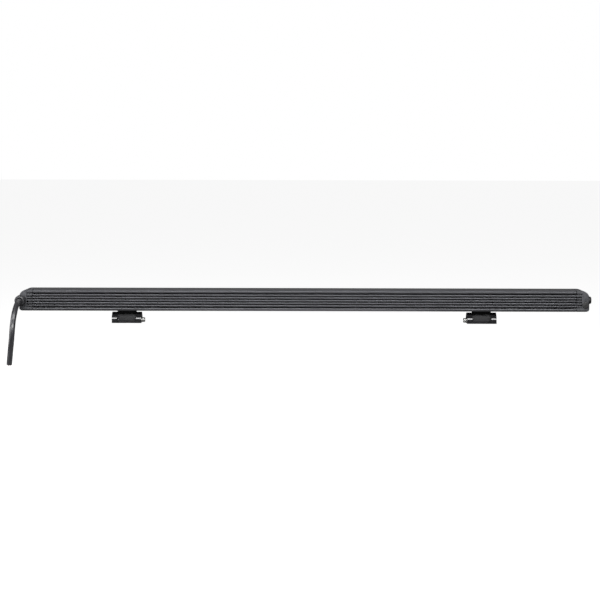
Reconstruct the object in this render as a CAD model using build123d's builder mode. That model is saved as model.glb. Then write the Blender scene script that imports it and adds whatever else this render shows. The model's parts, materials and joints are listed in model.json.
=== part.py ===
"""Slim LED light bar on two tilting feet that slide in a T-slot under the bar.

Frame: X runs along the bar, +Y is the way the beam points, +Z is up. The origin lies midway
between the two feet, on the plane that their undersides stand on. All lengths are millimetres.
"""
import os
from math import pi, radians, tan

from build123d import *

# ---------------------------------------------------------------- driving dimensions
# Bar, outside
extrusion_length = 1006.0
bar_height = 39.0
bar_depth = 58.0
bar_clearance = 24.0        # underside of the bar above the feet's base plane
edge_chamfer = 2.4

# Heat sink on the rear face
fin_count = 5
fin_thickness = 2.6
fin_depth = 6.0
lip_height = 3.0
gutter_width = 3.0
gutter_depth = 9.0
rear_wall = 3.0

# Extrusion, inside
top_wall = 2.8
heat_wall = 3.0             # carries the LED boards
room_wall = 5.5             # above and below the optics
lens_ledge = 1.5
board_groove_depth = 1.2
board_groove_gap = 0.1      # board to each face of its groove
screw_port_radius = 3.3
port_overlap = 0.3          # how far a screw port sinks into the walls beside it

# T-slot under the bar
slot_mouth = 8.4
slot_width = 12.4
slot_lip = 3.0
slot_height = 6.0
slot_roof = 2.5

# Front stack, from the front face backwards
bezel_thickness = 1.6
bezel_rail = 6.5
bezel_end = 10.0            # width of the bezel's end plates
bezel_chamfer = 0.3
lens_thickness = 2.8
lens_end_gap = 0.5
lens_gasket_thickness = 0.8
lens_gasket_end = 5.0       # solid stretch at each end of the gasket
reflector_depth = 9.6
board_thickness = 1.6
front_air_gap = 0.4         # reflector to lens gasket plane
board_air_gap = 0.2         # reflector to LED board

# LED modules
module_count = 3
cups_per_module = 12
cup_pitch = 27.5
cup_throat_radius = 3.6
cup_web = 1.0               # half of the wall between two cups
cup_rim = 0.95
reflector_gap = 0.3         # above and below the reflector
cup_bulge = 1.1             # how far the cup wall bows away from a straight cone
chip_size = 3.5
chip_base = 0.7
chip_dome_radius = 1.5

# Driver
driver_length = 230.0
driver_start = 33.0         # from the extrusion's left end
driver_height = 14.1        # underside of the driver board above the bar's underside
capacitor_count = 4
capacitor_start = 45.0      # from the board's left end, as for the other components
capacitor_pitch = 13.0
capacitor_radius = 5.0
capacitor_height = 11.0
capacitor_round = 0.8
inductor_count = 3
inductor_start = 110.0
inductor_pitch = 24.0
inductor_radius = 7.0
inductor_bore = 2.8
inductor_height = 6.5
power_chip_count = 3
power_chip_start = 175.0
power_chip_pitch = 14.0
power_chip_size = (8.0, 10.0)
power_chip_offset = 3.0     # from the board's middle, towards the rear wall
terminal_size = (8.0, 16.0)
input_terminal = 10.0       # from the board's left end
output_terminal = 7.0       # from the board's right end
chip_height = 4.0

# Leads
lead_radius = 1.1
supply_pair_half = 1.7      # half of the distance between the two supply leads
supply_spread_half = 3.0    # the same, where they reach the driver board
supply_drop_in = 10.0       # from the pocket's rear wall to the first bend
supply_gasket_in = 11.5     # the same, where they pass the cap gasket
supply_offset = 1.2         # from the gland's axis, along the bar
supply_rise = 2.2           # above the driver board
supply_approach = 8.0       # straight stretch before the board
supply_bend = 3.2
led_pair_half = 1.25        # half of the distance between the two LED leads, along Y
led_hole_half = 1.4         # the same, in the hole that they leave through
led_bend = 3.0

# End caps
cap_block = 14.0
cap_comb = 10.0
cap_gasket_thickness = 1.0
cap_corner_top = 15.0
cap_corner_bottom = 6.0
cap_edge_radius = 2.5
cap_spigot = 7.0
cap_groove_depth = 4.0      # the gutters run out shallower in the cap
cap_end_wall = 3.0
pocket_rear_wall = 5.0
pocket_depth = 15.0
pocket_height = 18.0
cap_ramp_end = 0.6          # depth at which the lower gutter runs out
cap_gasket_inset = 0.4

# Cable gland, on the rear face of the left cap
gland_inset = 4.6           # axis to the cap's end face
gland_rise = 0.5            # axis above the bar's mid height
gland_thread_radius = 6.0
gland_boss_wall = 3.0
gland_flange_radius = 7.4
gland_flange_height = 4.0
gland_neck_radius = 6.6
gland_neck_length = 11.0
gland_nut_radius = 9.4
gland_nut_length = 17.0
gland_nut_gap = 1.0
gland_nut_round = 3.2
gland_nut_lip = 2.0         # wall around the nut's mouth
gland_mouth_gap = 0.35      # radial, cable in the nut's mouth
gland_seal_gap = 0.1        # radial, seal inside the nut's bore
gland_boss_share = 0.7      # of the pocket's depth
gland_core_bore = 3.4

# Vent plug, on the rear face of the right cap
vent_inset = 7.5
vent_drop = 6.5
vent_radius = 6.1
vent_height = 2.4
vent_stem_radius = 3.9
vent_round = 1.2
vent_hole_radius = 1.4
vent_seal_radius = 5.6
vent_seal_thickness = 0.8

# Side bolts in the end faces
side_bolt_radius = 4.0
side_bolt_length = 11.0
side_head_radius = 7.0
side_head_height = 6.4
side_head_round = 2.6
side_socket_radius = 2.9
side_socket_depth = 3.6
side_washer_radius = 8.0
side_washer_thickness = 1.6
side_hole_depth = 12.5
side_seat_margin = 0.6      # flat round a washer, where the cap's corner curves away
side_seat_depth = 4.0

# Feet and knuckles
foot_spacing = 662.0
pivot_height = 5.2
knuckle_width = 35.0
knuckle_gap = 0.25          # between a knuckle and each ear
knuckle_floor_gap = 0.4     # knuckle's round end above the base plane
ear_thickness = 9.5
ear_top = 20.0
base_thickness = 2.4
window_gap = 4.1            # knuckle to the rails of the base
foot_hole_radius = 2.1
foot_hole_depth = 10.0
foot_hole_offset = 8.0
knuckle_top_gap = 0.15      # knuckle to the bar's underside
slider_length = 28.0
slider_side_gap = 0.3
slider_top_gap = 0.6
neck_gap = 0.3
clamp_spacing = 18.0

# Fasteners
pivot_bolt_radius = 2.5
pivot_head_radius = 4.25
pivot_head_height = 5.0
pivot_head_chamfer = 0.5
pivot_socket_radius = 2.3
pivot_socket_depth = 2.5
pivot_end_gap = 0.5         # bolt's tip inside the far ear's face
pivot_washer_radius = 5.0
pivot_washer_thickness = 1.0
clamp_radius = 2.0
clamp_head_radius = 3.5
clamp_head_height = 4.0
clamp_head_seat = 12.5      # above the base plane
clamp_socket_radius = 1.7
clamp_socket_depth = 2.0
clamp_end_gap = 0.4         # screw's tip inside the slider's top
module_screw_radius = 1.5
module_head_radius = 2.75
module_head_height = 2.0
module_head_recess = 3.0
module_screw_edge = 3.7
module_screw_reach = 2.4    # into the heat wall
bezel_screw_radius = 1.25
bezel_head_radius = 1.8
bezel_head_height = 1.0
bezel_screw_inset = 2.0
bezel_screw_reach = 8.0
bezel_hole_spare = 1.0      # hole below the screw's tip
bezel_screw_columns = 10    # the outermost ones hold the end plates
cap_screw_radius = 1.75
cap_head_radius = 3.3
cap_head_height = 2.6
cap_head_recess = 9.5       # deep enough to sink the upper heads below the rounded corner
cap_socket_radius = 1.6
cap_socket_depth = 1.4
cap_screw_reach = 12.0

# Fits
thread_gap = 0.05           # radial, screw in its thread
pin_gap = 0.06              # radial, pivot bolt in the knuckle
pass_gap = 0.3              # radial, screw through a plain hole
part_gap = 0.2              # loose parts set inside the bar
lead_gap = 0.1              # lead's end to what it is soldered to
thread_relief = 0.5         # gland's thread ends short of the wall's inner face
overrun = 1.0               # how far a cut runs past a face

# Power cable
cable_radius = 5.0
cable_seat = 8.0            # how far the jacket reaches into the gland's neck
core_count = 3
core_radius = 1.7
core_ring = 2.4
core_stub = 1.5
# Route behind the gland: outwards, then down. It is placed for this gland axis, rear face
# and mid height, and moves along with them.
cable_tail_place = (-522.0, -29.0, 43.5)
cable_tail = [
    (-522.0, -65.4, 44.0),
    (-523.4, -91.8, 28.9),
    (-524.9, -106.8, 2.0),
    (-527.4, -108.4, -32.8),
    (-531.6, -106.2, -67.3),
]

# ---------------------------------------------------------------- worked out from them
z_bottom = bar_clearance
z_top = z_bottom + bar_height
z_mid = z_bottom + bar_height / 2
y_rear = -bar_depth / 2
y_front = bar_depth / 2
extrusion_end = extrusion_length / 2

fin_zone = bar_height - 2 * (edge_chamfer + lip_height + gutter_width)
fin_pitch = (fin_zone - fin_thickness) / (fin_count - 1)

y_bezel = y_front - bezel_thickness
y_lens = y_bezel - lens_thickness
y_seat = y_lens - lens_gasket_thickness
y_reflector = y_seat - front_air_gap
y_throat = y_reflector - reflector_depth
y_board = y_throat - board_air_gap
y_heat = y_board - board_thickness
y_heat_back = y_heat - heat_wall
y_cavity_rear = y_rear + gutter_depth + rear_wall

room_bottom = z_bottom + room_wall
room_top = z_top - room_wall
lens_bottom = room_bottom - lens_ledge
lens_top = room_top + lens_ledge
slot_top = z_bottom + slot_lip + slot_height
cavity_floor = slot_top + slot_roof
cavity_top = z_top - top_wall
driver_top = z_bottom + driver_height + board_thickness

module_length = cups_per_module * cup_pitch
module_centres = [(i - (module_count - 1) / 2) * module_length for i in range(module_count)]
module_names = ["left", "center", "right"]
reflector_height = room_top - room_bottom - 2 * reflector_gap
cup_radius = min(cup_pitch / 2 - cup_web, reflector_height / 2 - cup_rim)
module_screw_rise = reflector_height / 2 - module_screw_edge

cap_inner = extrusion_end + cap_gasket_thickness
cap_split = cap_inner + cap_comb
cap_outer = cap_split + cap_block
pocket_bottom = z_mid - pocket_height / 2
pocket_top = z_mid + pocket_height / 2
y_pocket_rear = y_rear + pocket_rear_wall
y_pocket_front = y_pocket_rear + pocket_depth

gland_x = -(cap_outer - gland_inset)
gland_z = z_mid + gland_rise
vent_x = cap_outer - vent_inset
vent_z = z_mid - vent_drop

ear_inner = knuckle_width / 2 + knuckle_gap
ear_outer = ear_inner + ear_thickness
ear_radius = ear_top - pivot_height     # also half of the foot's depth
knuckle_radius = pivot_height - knuckle_floor_gap

# Screw ports in the extrusion, as (Y, Z), shared by the caps and the gaskets
port_inset = screw_port_radius - port_overlap
rear_port = y_cavity_rear + port_inset
upper_port = cavity_top - port_inset
lower_port = z_bottom + slot_lip + port_inset
front_port = y_heat_back - port_inset
slot_port = (slot_width / 2 + y_heat) / 2
cap_screw_places = [
    (rear_port, upper_port),
    (rear_port, lower_port),
    (front_port, upper_port),
    (slot_port, lower_port),
]
bezel_screw_x = [
    -extrusion_end + bezel_end / 2 + i * (extrusion_length - bezel_end) / (bezel_screw_columns - 1)
    for i in range(bezel_screw_columns)
]
bezel_screw_z = [z_bottom + bezel_screw_inset, z_top - bezel_screw_inset]
bezel_screw_places = [(x, z) for x in bezel_screw_x for z in bezel_screw_z]
module_screw_places = [
    (centre + side * (cups_per_module / 2 - 2) * cup_pitch, z_mid + rise * module_screw_rise)
    for centre in module_centres
    for side in (-1, 1)
    for rise in (-1, 1)
]
feed_gap = 10.0             # LED lead hole to the end of its module
feed_holes = [
    (-module_length / 2 - feed_gap, 9.0, -3.4),
    (-module_length / 2 + feed_gap, 12.5, 0.0),
    (module_length / 2 + feed_gap, 16.0, 3.4),
]                           # X, height above the cavity's floor, and Y from the room's middle
feed_hole_radius = 3.2


def across(x):
    """Plane across the bar at x, with Y as its first axis and Z as its second."""
    return Plane(origin=(x, 0, 0), x_dir=(0, 1, 0), z_dir=(1, 0, 0))


def facing_back(y):
    """Plane seen from behind at y, with X as its first axis and Z as its second."""
    return Plane(origin=(0, y, 0), x_dir=(1, 0, 0), z_dir=(0, -1, 0))


def save(part, name):
    """Label a finished piece and write it to its own STEP file."""
    part.label = name
    export_step(part, f"parts/{name}.step")


def rectangle_between(low, high, mode=Mode.ADD):
    """Rectangle in the current sketch between two corners."""
    with Locations(((low[0] + high[0]) / 2, (low[1] + high[1]) / 2)):
        Rectangle(high[0] - low[0], high[1] - low[1], mode=mode)


def bar_outline(front=y_front):
    """Outside of the bar's section, with chamfers along the rear edges."""
    Polygon(
        (y_rear, z_bottom + edge_chamfer),
        (y_rear + edge_chamfer, z_bottom),
        (front, z_bottom),
        (front, z_top),
        (y_rear + edge_chamfer, z_top),
        (y_rear, z_top - edge_chamfer),
        align=None,
    )


def heat_sink_grooves():
    """Grooves between the fins, and the deeper gutter beside each lip."""
    for i in range(fin_count - 1):
        centre = z_mid + (i - (fin_count - 2) / 2) * fin_pitch
        half = (fin_pitch - fin_thickness) / 2
        rectangle_between(
            (y_rear - overrun, centre - half), (y_rear + fin_depth, centre + half), Mode.SUBTRACT
        )
    outer_fin = fin_zone / 2
    for sign in (-1, 1):
        edges = sorted([z_mid + sign * outer_fin, z_mid + sign * (outer_fin + gutter_width)])
        rectangle_between((y_rear - overrun, edges[0]), (y_rear + gutter_depth, edges[1]), Mode.SUBTRACT)


os.makedirs("parts", exist_ok=True)

# ---------------------------------------------------------------- housing
with BuildPart() as housing:
    with BuildSketch(across(-extrusion_end)):
        bar_outline(front=y_bezel)
        heat_sink_grooves()
        # driver room, with the grooves that the driver board slides in
        rectangle_between((y_cavity_rear, cavity_floor), (y_heat_back, cavity_top), Mode.SUBTRACT)
        rectangle_between(
            (y_cavity_rear - board_groove_depth, z_bottom + driver_height - board_groove_gap),
            (y_heat_back + board_groove_depth, driver_top + board_groove_gap),
            Mode.SUBTRACT,
        )
        # chamber behind the T-slot
        rectangle_between(
            (y_cavity_rear, z_bottom + slot_lip), (-slot_width / 2 - slot_roof, slot_top), Mode.SUBTRACT
        )
        with Locations((rear_port, upper_port), (rear_port, lower_port), (front_port, upper_port)):
            Circle(screw_port_radius)
        # optics room and the ledge for the lens
        rectangle_between((y_heat, room_bottom), (y_bezel + overrun, room_top), Mode.SUBTRACT)
        rectangle_between(
            (y_seat, lens_bottom - part_gap), (y_bezel + overrun, lens_top + part_gap), Mode.SUBTRACT
        )
        # T-slot
        rectangle_between((-slot_mouth / 2, z_bottom - overrun), (slot_mouth / 2, slot_top), Mode.SUBTRACT)
        rectangle_between((-slot_width / 2, z_bottom + slot_lip), (slot_width / 2, slot_top), Mode.SUBTRACT)
        with Locations(*cap_screw_places):
            Circle(cap_screw_radius + thread_gap, mode=Mode.SUBTRACT)
    extrude(amount=extrusion_length)
    with BuildSketch(facing_back(y_bezel)):
        with Locations(*bezel_screw_places):
            Circle(bezel_screw_radius + thread_gap)
    extrude(amount=bezel_screw_reach + bezel_hole_spare, mode=Mode.SUBTRACT)
    with BuildSketch(facing_back(y_heat)):
        with Locations(*module_screw_places):
            Circle(module_screw_radius + thread_gap)
        with Locations(*[(x, cavity_floor + rise) for x, rise, _ in feed_holes]):
            Circle(feed_hole_radius)
    extrude(amount=heat_wall, mode=Mode.SUBTRACT)
save(housing.part, "housing")

# ---------------------------------------------------------------- front: bezel strips, lens, gasket
window_end = extrusion_end - bezel_end
bezel_strips = {
    "bezel_lower_rail": ((-window_end, z_bottom), (window_end, z_bottom + bezel_rail)),
    "bezel_upper_rail": ((-window_end, z_top - bezel_rail), (window_end, z_top)),
    "left_bezel_end": ((-extrusion_end, z_bottom), (-window_end, z_top)),
    "right_bezel_end": ((window_end, z_bottom), (extrusion_end, z_top)),
}
for strip_name, (low, high) in bezel_strips.items():
    own_screws = [(x, z) for x, z in bezel_screw_places if low[0] < x < high[0] and low[1] < z < high[1]]
    with BuildPart() as bezel_strip:
        with BuildSketch(facing_back(y_front)):
            rectangle_between(low, high)
            with Locations(*own_screws):
                Circle(bezel_screw_radius + part_gap, mode=Mode.SUBTRACT)
        extrude(amount=bezel_thickness)
        front_edges = bezel_strip.faces().sort_by(Axis.Y)[-1].outer_wire().edges().filter_by(Axis.X)
        reach = bar_height / 2 - bezel_chamfer
        outer_edges = front_edges.filter_by(lambda edge: abs(edge.center().Z - z_mid) > reach)
        chamfer(outer_edges, bezel_chamfer)
    save(bezel_strip.part, strip_name)

with BuildPart() as bezel_screws:
    with BuildSketch(facing_back(y_front)):
        with Locations(*bezel_screw_places):
            Circle(bezel_screw_radius)
    extrude(amount=bezel_thickness + bezel_screw_reach)
    with BuildSketch(facing_back(y_front + bezel_head_height)):
        with Locations(*bezel_screw_places):
            Circle(bezel_head_radius)
    extrude(amount=bezel_head_height)
save(bezel_screws.part, "bezel_screws")

lens_half_length = extrusion_end - lens_end_gap
with BuildPart() as lens:
    with BuildSketch(facing_back(y_bezel)):
        rectangle_between((-lens_half_length, lens_bottom), (lens_half_length, lens_top))
    extrude(amount=lens_thickness)
save(lens.part, "lens")

with BuildPart() as lens_gasket:
    with BuildSketch(facing_back(y_lens)):
        rectangle_between((-lens_half_length, lens_bottom), (lens_half_length, lens_top))
        rectangle_between(
            (-lens_half_length + lens_gasket_end, room_bottom),
            (lens_half_length - lens_gasket_end, room_top),
            Mode.SUBTRACT,
        )
    extrude(amount=lens_gasket_thickness)
save(lens_gasket.part, "lens_gasket")

# ---------------------------------------------------------------- LED modules
with BuildPart(mode=Mode.PRIVATE) as cup_cutter:
    with BuildSketch(Plane.XY):
        with BuildLine():
            Line((0, 0), (cup_throat_radius, 0))
            SagittaArc((cup_throat_radius, 0), (cup_radius, reflector_depth), -cup_bulge)
            Polyline(
                (cup_radius, reflector_depth),
                (cup_radius, reflector_depth + overrun),
                (0, reflector_depth + overrun),
                (0, 0),
            )
        make_face()
    revolve(axis=Axis.Y)

for name, centre in zip(module_names, module_centres):
    cup_x = [centre + (i - (cups_per_module - 1) / 2) * cup_pitch for i in range(cups_per_module)]
    own_screws = [place for place in module_screw_places if abs(place[0] - centre) < module_length / 2]
    half_length = module_length / 2 - part_gap

    with BuildPart() as reflector:
        with BuildSketch(facing_back(y_reflector)):
            rectangle_between(
                (centre - half_length, z_mid - reflector_height / 2),
                (centre + half_length, z_mid + reflector_height / 2),
            )
            with Locations(*own_screws):
                Circle(module_screw_radius + part_gap, mode=Mode.SUBTRACT)
        extrude(amount=reflector_depth)
        with BuildSketch(facing_back(y_reflector)):
            with Locations(*own_screws):
                Circle(module_head_radius + part_gap)
        extrude(amount=module_head_recess, mode=Mode.SUBTRACT)
        with Locations(*[(x, y_throat, z_mid) for x in cup_x]):
            add(cup_cutter.part, mode=Mode.SUBTRACT)
    save(reflector.part, f"reflector_{name}")

    with BuildPart() as led_board:
        with BuildSketch(facing_back(y_board)):
            rectangle_between(
                (centre - half_length, z_mid - reflector_height / 2),
                (centre + half_length, z_mid + reflector_height / 2),
            )
            with Locations(*own_screws):
                Circle(module_screw_radius + part_gap, mode=Mode.SUBTRACT)
        extrude(amount=board_thickness)
    save(led_board.part, f"led_board_{name}")

    with BuildPart() as led_chips:
        with BuildSketch(facing_back(y_board + chip_base)):
            with Locations(*[(x, z_mid) for x in cup_x]):
                Rectangle(chip_size, chip_size)
        extrude(amount=chip_base)
        with Locations(*[Location((x, y_board + chip_base, z_mid), (-90, 0, 0)) for x in cup_x]):
            Sphere(chip_dome_radius, arc_size1=0, align=(Align.CENTER, Align.CENTER, Align.MIN))
    save(led_chips.part, f"led_chips_{name}")

with BuildPart() as module_screws:
    y_head = y_reflector - module_head_recess
    with BuildSketch(facing_back(y_head)):
        with Locations(*module_screw_places):
            Circle(module_screw_radius)
    extrude(amount=y_head - y_heat + module_screw_reach)
    with BuildSketch(facing_back(y_head + module_head_height)):
        with Locations(*module_screw_places):
            Circle(module_head_radius)
    extrude(amount=module_head_height)
save(module_screws.part, "module_screws")

# ---------------------------------------------------------------- driver and leads
driver_left = -extrusion_end + driver_start
driver_right = driver_left + driver_length
driver_mid_y = (y_cavity_rear + y_heat_back) / 2


def driver_row(start, pitch, count, offset=0.0):
    """Places of a row of components on the driver board, moved back from its middle by an offset."""
    return [(driver_left + start + i * pitch, driver_mid_y - offset) for i in range(count)]


with BuildPart() as driver_board:
    with BuildSketch(Plane.XY.offset(z_bottom + driver_height)):
        rectangle_between(
            (driver_left, y_cavity_rear - board_groove_depth + part_gap),
            (driver_right, y_heat_back + board_groove_depth - part_gap),
        )
    extrude(amount=board_thickness)
save(driver_board.part, "driver_board")

with BuildPart() as driver_capacitors:
    with BuildSketch(Plane.XY.offset(driver_top)):
        with Locations(*driver_row(capacitor_start, capacitor_pitch, capacitor_count)):
            Circle(capacitor_radius)
    extrude(amount=capacitor_height)
    fillet(driver_capacitors.faces().group_by(Axis.Z)[-1].edges(), capacitor_round)
save(driver_capacitors.part, "driver_capacitors")

with BuildPart() as driver_inductors:
    with BuildSketch(Plane.XY.offset(driver_top)):
        with Locations(*driver_row(inductor_start, inductor_pitch, inductor_count)):
            Circle(inductor_radius)
            Circle(inductor_bore, mode=Mode.SUBTRACT)
    extrude(amount=inductor_height)
save(driver_inductors.part, "driver_inductors")

with BuildPart() as driver_chips:
    with BuildSketch(Plane.XY.offset(driver_top)):
        with Locations(*driver_row(power_chip_start, power_chip_pitch, power_chip_count, power_chip_offset)):
            Rectangle(*power_chip_size)
        with Locations(
            (driver_left + input_terminal, driver_mid_y), (driver_right - output_terminal, driver_mid_y)
        ):
            Rectangle(*terminal_size)
    extrude(amount=chip_height)
save(driver_chips.part, "driver_chips")

terminal_face = driver_left + input_terminal - terminal_size[0] / 2
for sign, colour in ((1, "red"), (-1, "black")):
    lead_x = gland_x + supply_offset
    lead_z = gland_z + sign * supply_pair_half
    board_y = driver_mid_y + sign * supply_spread_half
    board_z = driver_top + supply_rise
    route = [
        (lead_x, y_pocket_rear - thread_relief, lead_z),
        (lead_x, y_pocket_rear + supply_drop_in, lead_z),
        (-cap_inner, y_pocket_rear + supply_gasket_in, lead_z),
        (driver_left - supply_approach, board_y, board_z),
        (terminal_face - lead_gap, board_y, board_z),
    ]
    with BuildPart() as supply_lead:
        with BuildLine():
            FilletPolyline(*route, radius=supply_bend)
        with BuildSketch(Plane(origin=route[0], z_dir=(0, 1, 0))):
            Circle(lead_radius)
        sweep()
    save(supply_lead.part, f"supply_lead_{colour}")

for sign, colour in ((1, "red"), (-1, "black")):
    with BuildPart() as led_leads:
        for x, rise, offset in feed_holes:
            height = cavity_floor + rise
            start_y = driver_mid_y + offset + sign * led_pair_half
            hole_x = x + sign * led_hole_half
            route = [
                (driver_right + part_gap, start_y, height),
                (hole_x, start_y, height),
                (hole_x, y_heat - lead_gap, height),
            ]
            with BuildLine():
                FilletPolyline(*route, radius=led_bend)
            with BuildSketch(Plane(origin=route[0], z_dir=(1, 0, 0))):
                Circle(lead_radius)
            sweep()
    save(led_leads.part, f"led_leads_{colour}")

# ---------------------------------------------------------------- end caps
def end_cap(side, gland=False):
    """Cast end cap: a block with rounded corners, and a comb that carries the fins on.

    Args:
        side: -1 for the left end of the bar, +1 for the right.
        gland: whether the cap has the boss and hole of the cable gland, or those of the vent.

    Returns:
        The cap as one solid.
    """
    low, high = sorted([side * cap_inner, side * cap_outer])
    split = side * cap_split
    outer_end = -1 if side > 0 else 0
    with BuildPart() as cap:
        with BuildSketch(across(low)):
            bar_outline()
        extrude(amount=high - low)
        # rounded corners as seen from behind and from above
        with BuildSketch(facing_back(y_front)):
            rectangle_between((low, z_bottom), (high, z_top))
            fillet(vertices().group_by(Axis.X)[outer_end].sort_by(Axis.Y)[-1], cap_corner_top)
            fillet(vertices().group_by(Axis.X)[outer_end].sort_by(Axis.Y)[0], cap_corner_bottom)
        extrude(amount=bar_depth, mode=Mode.INTERSECT)
        with BuildSketch(Plane.XY.offset(z_bottom)):
            rectangle_between((low, y_rear), (high, y_front))
            fillet(vertices().group_by(Axis.X)[outer_end], cap_edge_radius)
        extrude(amount=bar_height, mode=Mode.INTERSECT)
        # flat seat for the side bolt's washer
        with BuildSketch(across(side * cap_outer)):
            with Locations((0, z_mid)):
                Circle(side_washer_radius + side_seat_margin)
        extrude(amount=-side * side_seat_depth)
        # comb
        comb_low = min(side * cap_inner, split)
        with BuildSketch(across(comb_low)):
            for i in range(fin_count - 1):
                centre = z_mid + (i - (fin_count - 2) / 2) * fin_pitch
                half = (fin_pitch - fin_thickness) / 2
                rectangle_between((y_rear - overrun, centre - half), (y_rear + fin_depth, centre + half))
            upper = z_mid + fin_zone / 2
            rectangle_between((y_rear - overrun, upper), (y_rear + cap_groove_depth, upper + gutter_width))
        extrude(amount=cap_comb, mode=Mode.SUBTRACT)
        # the lower gutter runs out in a ramp
        ramp_top = z_mid - fin_zone / 2
        with BuildSketch(Plane.XY.offset(ramp_top - gutter_width)):
            with BuildLine():
                Polyline(
                    (side * cap_inner, y_rear - overrun),
                    (side * cap_inner, y_rear + cap_groove_depth),
                    (split, y_rear + cap_ramp_end),
                    (split, y_rear - overrun),
                    close=True,
                )
            make_face()
        extrude(amount=gutter_width, mode=Mode.SUBTRACT)
        # spigot that closes the optics room and backs the lens gasket
        tip_low, tip_high = sorted([side * cap_inner, side * (extrusion_end - cap_spigot)])
        with BuildSketch(across(tip_low)):
            rectangle_between(
                (y_heat + part_gap, room_bottom + part_gap), (y_seat, room_top - part_gap)
            )
        extrude(amount=tip_high - tip_low)
        # wire pocket, open to the driver room
        pocket_low, pocket_high = sorted([side * cap_split, side * (cap_outer - cap_end_wall)])
        with BuildSketch(across(pocket_low)):
            rectangle_between((y_pocket_rear, pocket_bottom), (y_pocket_front, pocket_top))
        extrude(amount=pocket_high - pocket_low, mode=Mode.SUBTRACT)
        with BuildSketch(across(comb_low)):
            rectangle_between((y_cavity_rear, cavity_floor), (y_pocket_front, pocket_top))
        extrude(amount=cap_comb, mode=Mode.SUBTRACT)
        # side bolt hole and cap screw holes
        with BuildSketch(across(side * cap_outer)):
            with Locations((0, z_mid)):
                Circle(side_bolt_radius + thread_gap)
        extrude(amount=-side * side_hole_depth, mode=Mode.SUBTRACT)
        with BuildSketch(across(side * cap_inner)):
            with Locations(*cap_screw_places):
                Circle(cap_screw_radius + part_gap)
        extrude(amount=side * (cap_comb + cap_block), mode=Mode.SUBTRACT)
        with BuildSketch(across(side * cap_outer)):
            with Locations(*cap_screw_places):
                Circle(cap_head_radius + part_gap)
        extrude(amount=-side * cap_head_recess, mode=Mode.SUBTRACT)
        if gland:
            boss_radius = gland_thread_radius + gland_boss_wall
            with BuildSketch(facing_back(y_rear)):
                with Locations((gland_x, gland_z)):
                    Circle(boss_radius)
                rectangle_between(
                    (side * cap_outer + cap_end_wall, gland_z - boss_radius - overrun),
                    (gland_x + boss_radius + overrun, gland_z + boss_radius + overrun),
                    Mode.SUBTRACT,
                )
            extrude(amount=-pocket_rear_wall - pocket_depth * gland_boss_share)
            with BuildSketch(facing_back(y_rear)):
                with Locations((gland_x, gland_z)):
                    Circle(gland_thread_radius + thread_gap)
            extrude(amount=-pocket_rear_wall, mode=Mode.SUBTRACT)
        else:
            with BuildSketch(facing_back(y_rear)):
                with Locations((vent_x, vent_z)):
                    Circle(vent_stem_radius + thread_gap)
            extrude(amount=-pocket_rear_wall, mode=Mode.SUBTRACT)
    return cap.part


def cap_gasket(side):
    """Flat gasket between a cap and the extrusion, open where the rooms are."""
    low = min(side * extrusion_end, side * cap_inner)
    with BuildPart() as gasket:
        with BuildSketch(across(low)):
            rectangle_between(
                (y_rear + gutter_depth + cap_gasket_inset, z_bottom + edge_chamfer),
                (y_front - cap_gasket_inset, z_top - cap_gasket_inset),
            )
            rectangle_between((y_cavity_rear, cavity_floor), (y_heat_back, cavity_top), Mode.SUBTRACT)
            with Locations((rear_port, upper_port), (front_port, upper_port)):
                Circle(screw_port_radius)
            rectangle_between(
                (y_heat + part_gap / 2, room_bottom + part_gap / 2),
                (y_seat, room_top - part_gap / 2),
                Mode.SUBTRACT,
            )
            with Locations(*cap_screw_places):
                Circle(cap_screw_radius + part_gap, mode=Mode.SUBTRACT)
        extrude(amount=cap_gasket_thickness)
    return gasket.part


def cap_screws(side):
    """Four self-tapping screws that hold a cap, with sunk heads."""
    seat = side * (cap_outer - cap_head_recess)
    reach = cap_outer - cap_head_recess - extrusion_end + cap_screw_reach
    with BuildPart() as screws:
        with BuildSketch(across(seat)):
            with Locations(*cap_screw_places):
                Circle(cap_screw_radius)
        extrude(amount=-side * reach)
        with BuildSketch(across(seat)):
            with Locations(*cap_screw_places):
                Circle(cap_head_radius)
        extrude(amount=side * cap_head_height)
        with BuildSketch(across(seat + side * cap_head_height)):
            with Locations(*cap_screw_places):
                RegularPolygon(cap_socket_radius, 6)
        extrude(amount=-side * cap_socket_depth, mode=Mode.SUBTRACT)
    return screws.part


def side_bolt(side):
    """Domed bolt with a hexagon socket in the middle of an end face."""
    seat = side * (cap_outer + side_washer_thickness)
    with BuildPart() as bolt:
        with BuildSketch(across(seat)):
            with Locations((0, z_mid)):
                Circle(side_bolt_radius)
        extrude(amount=-side * (side_washer_thickness + side_bolt_length))
        with BuildSketch(across(seat)):
            with Locations((0, z_mid)):
                Circle(side_head_radius)
        extrude(amount=side * side_head_height)
        top = bolt.faces().sort_by(Axis.X)[-1 if side > 0 else 0]
        fillet(top.edges(), side_head_round)
        with BuildSketch(across(seat + side * side_head_height)):
            with Locations((0, z_mid)):
                RegularPolygon(side_socket_radius, 6)
        extrude(amount=-side * side_socket_depth, mode=Mode.SUBTRACT)
    return bolt.part


def side_washer(side):
    """Plain washer under a side bolt."""
    with BuildPart() as washer:
        with BuildSketch(across(side * cap_outer)):
            with Locations((0, z_mid)):
                Circle(side_washer_radius)
                Circle(side_bolt_radius + pass_gap, mode=Mode.SUBTRACT)
        extrude(amount=side * side_washer_thickness)
    return washer.part


for side, name in ((-1, "left"), (1, "right")):
    save(end_cap(side, gland=side < 0), f"{name}_end_cap")
    save(cap_gasket(side), f"{name}_cap_gasket")
    save(cap_screws(side), f"{name}_cap_screws")
    save(side_bolt(side), f"{name}_side_bolt")
    save(side_washer(side), f"{name}_side_washer")

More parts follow.
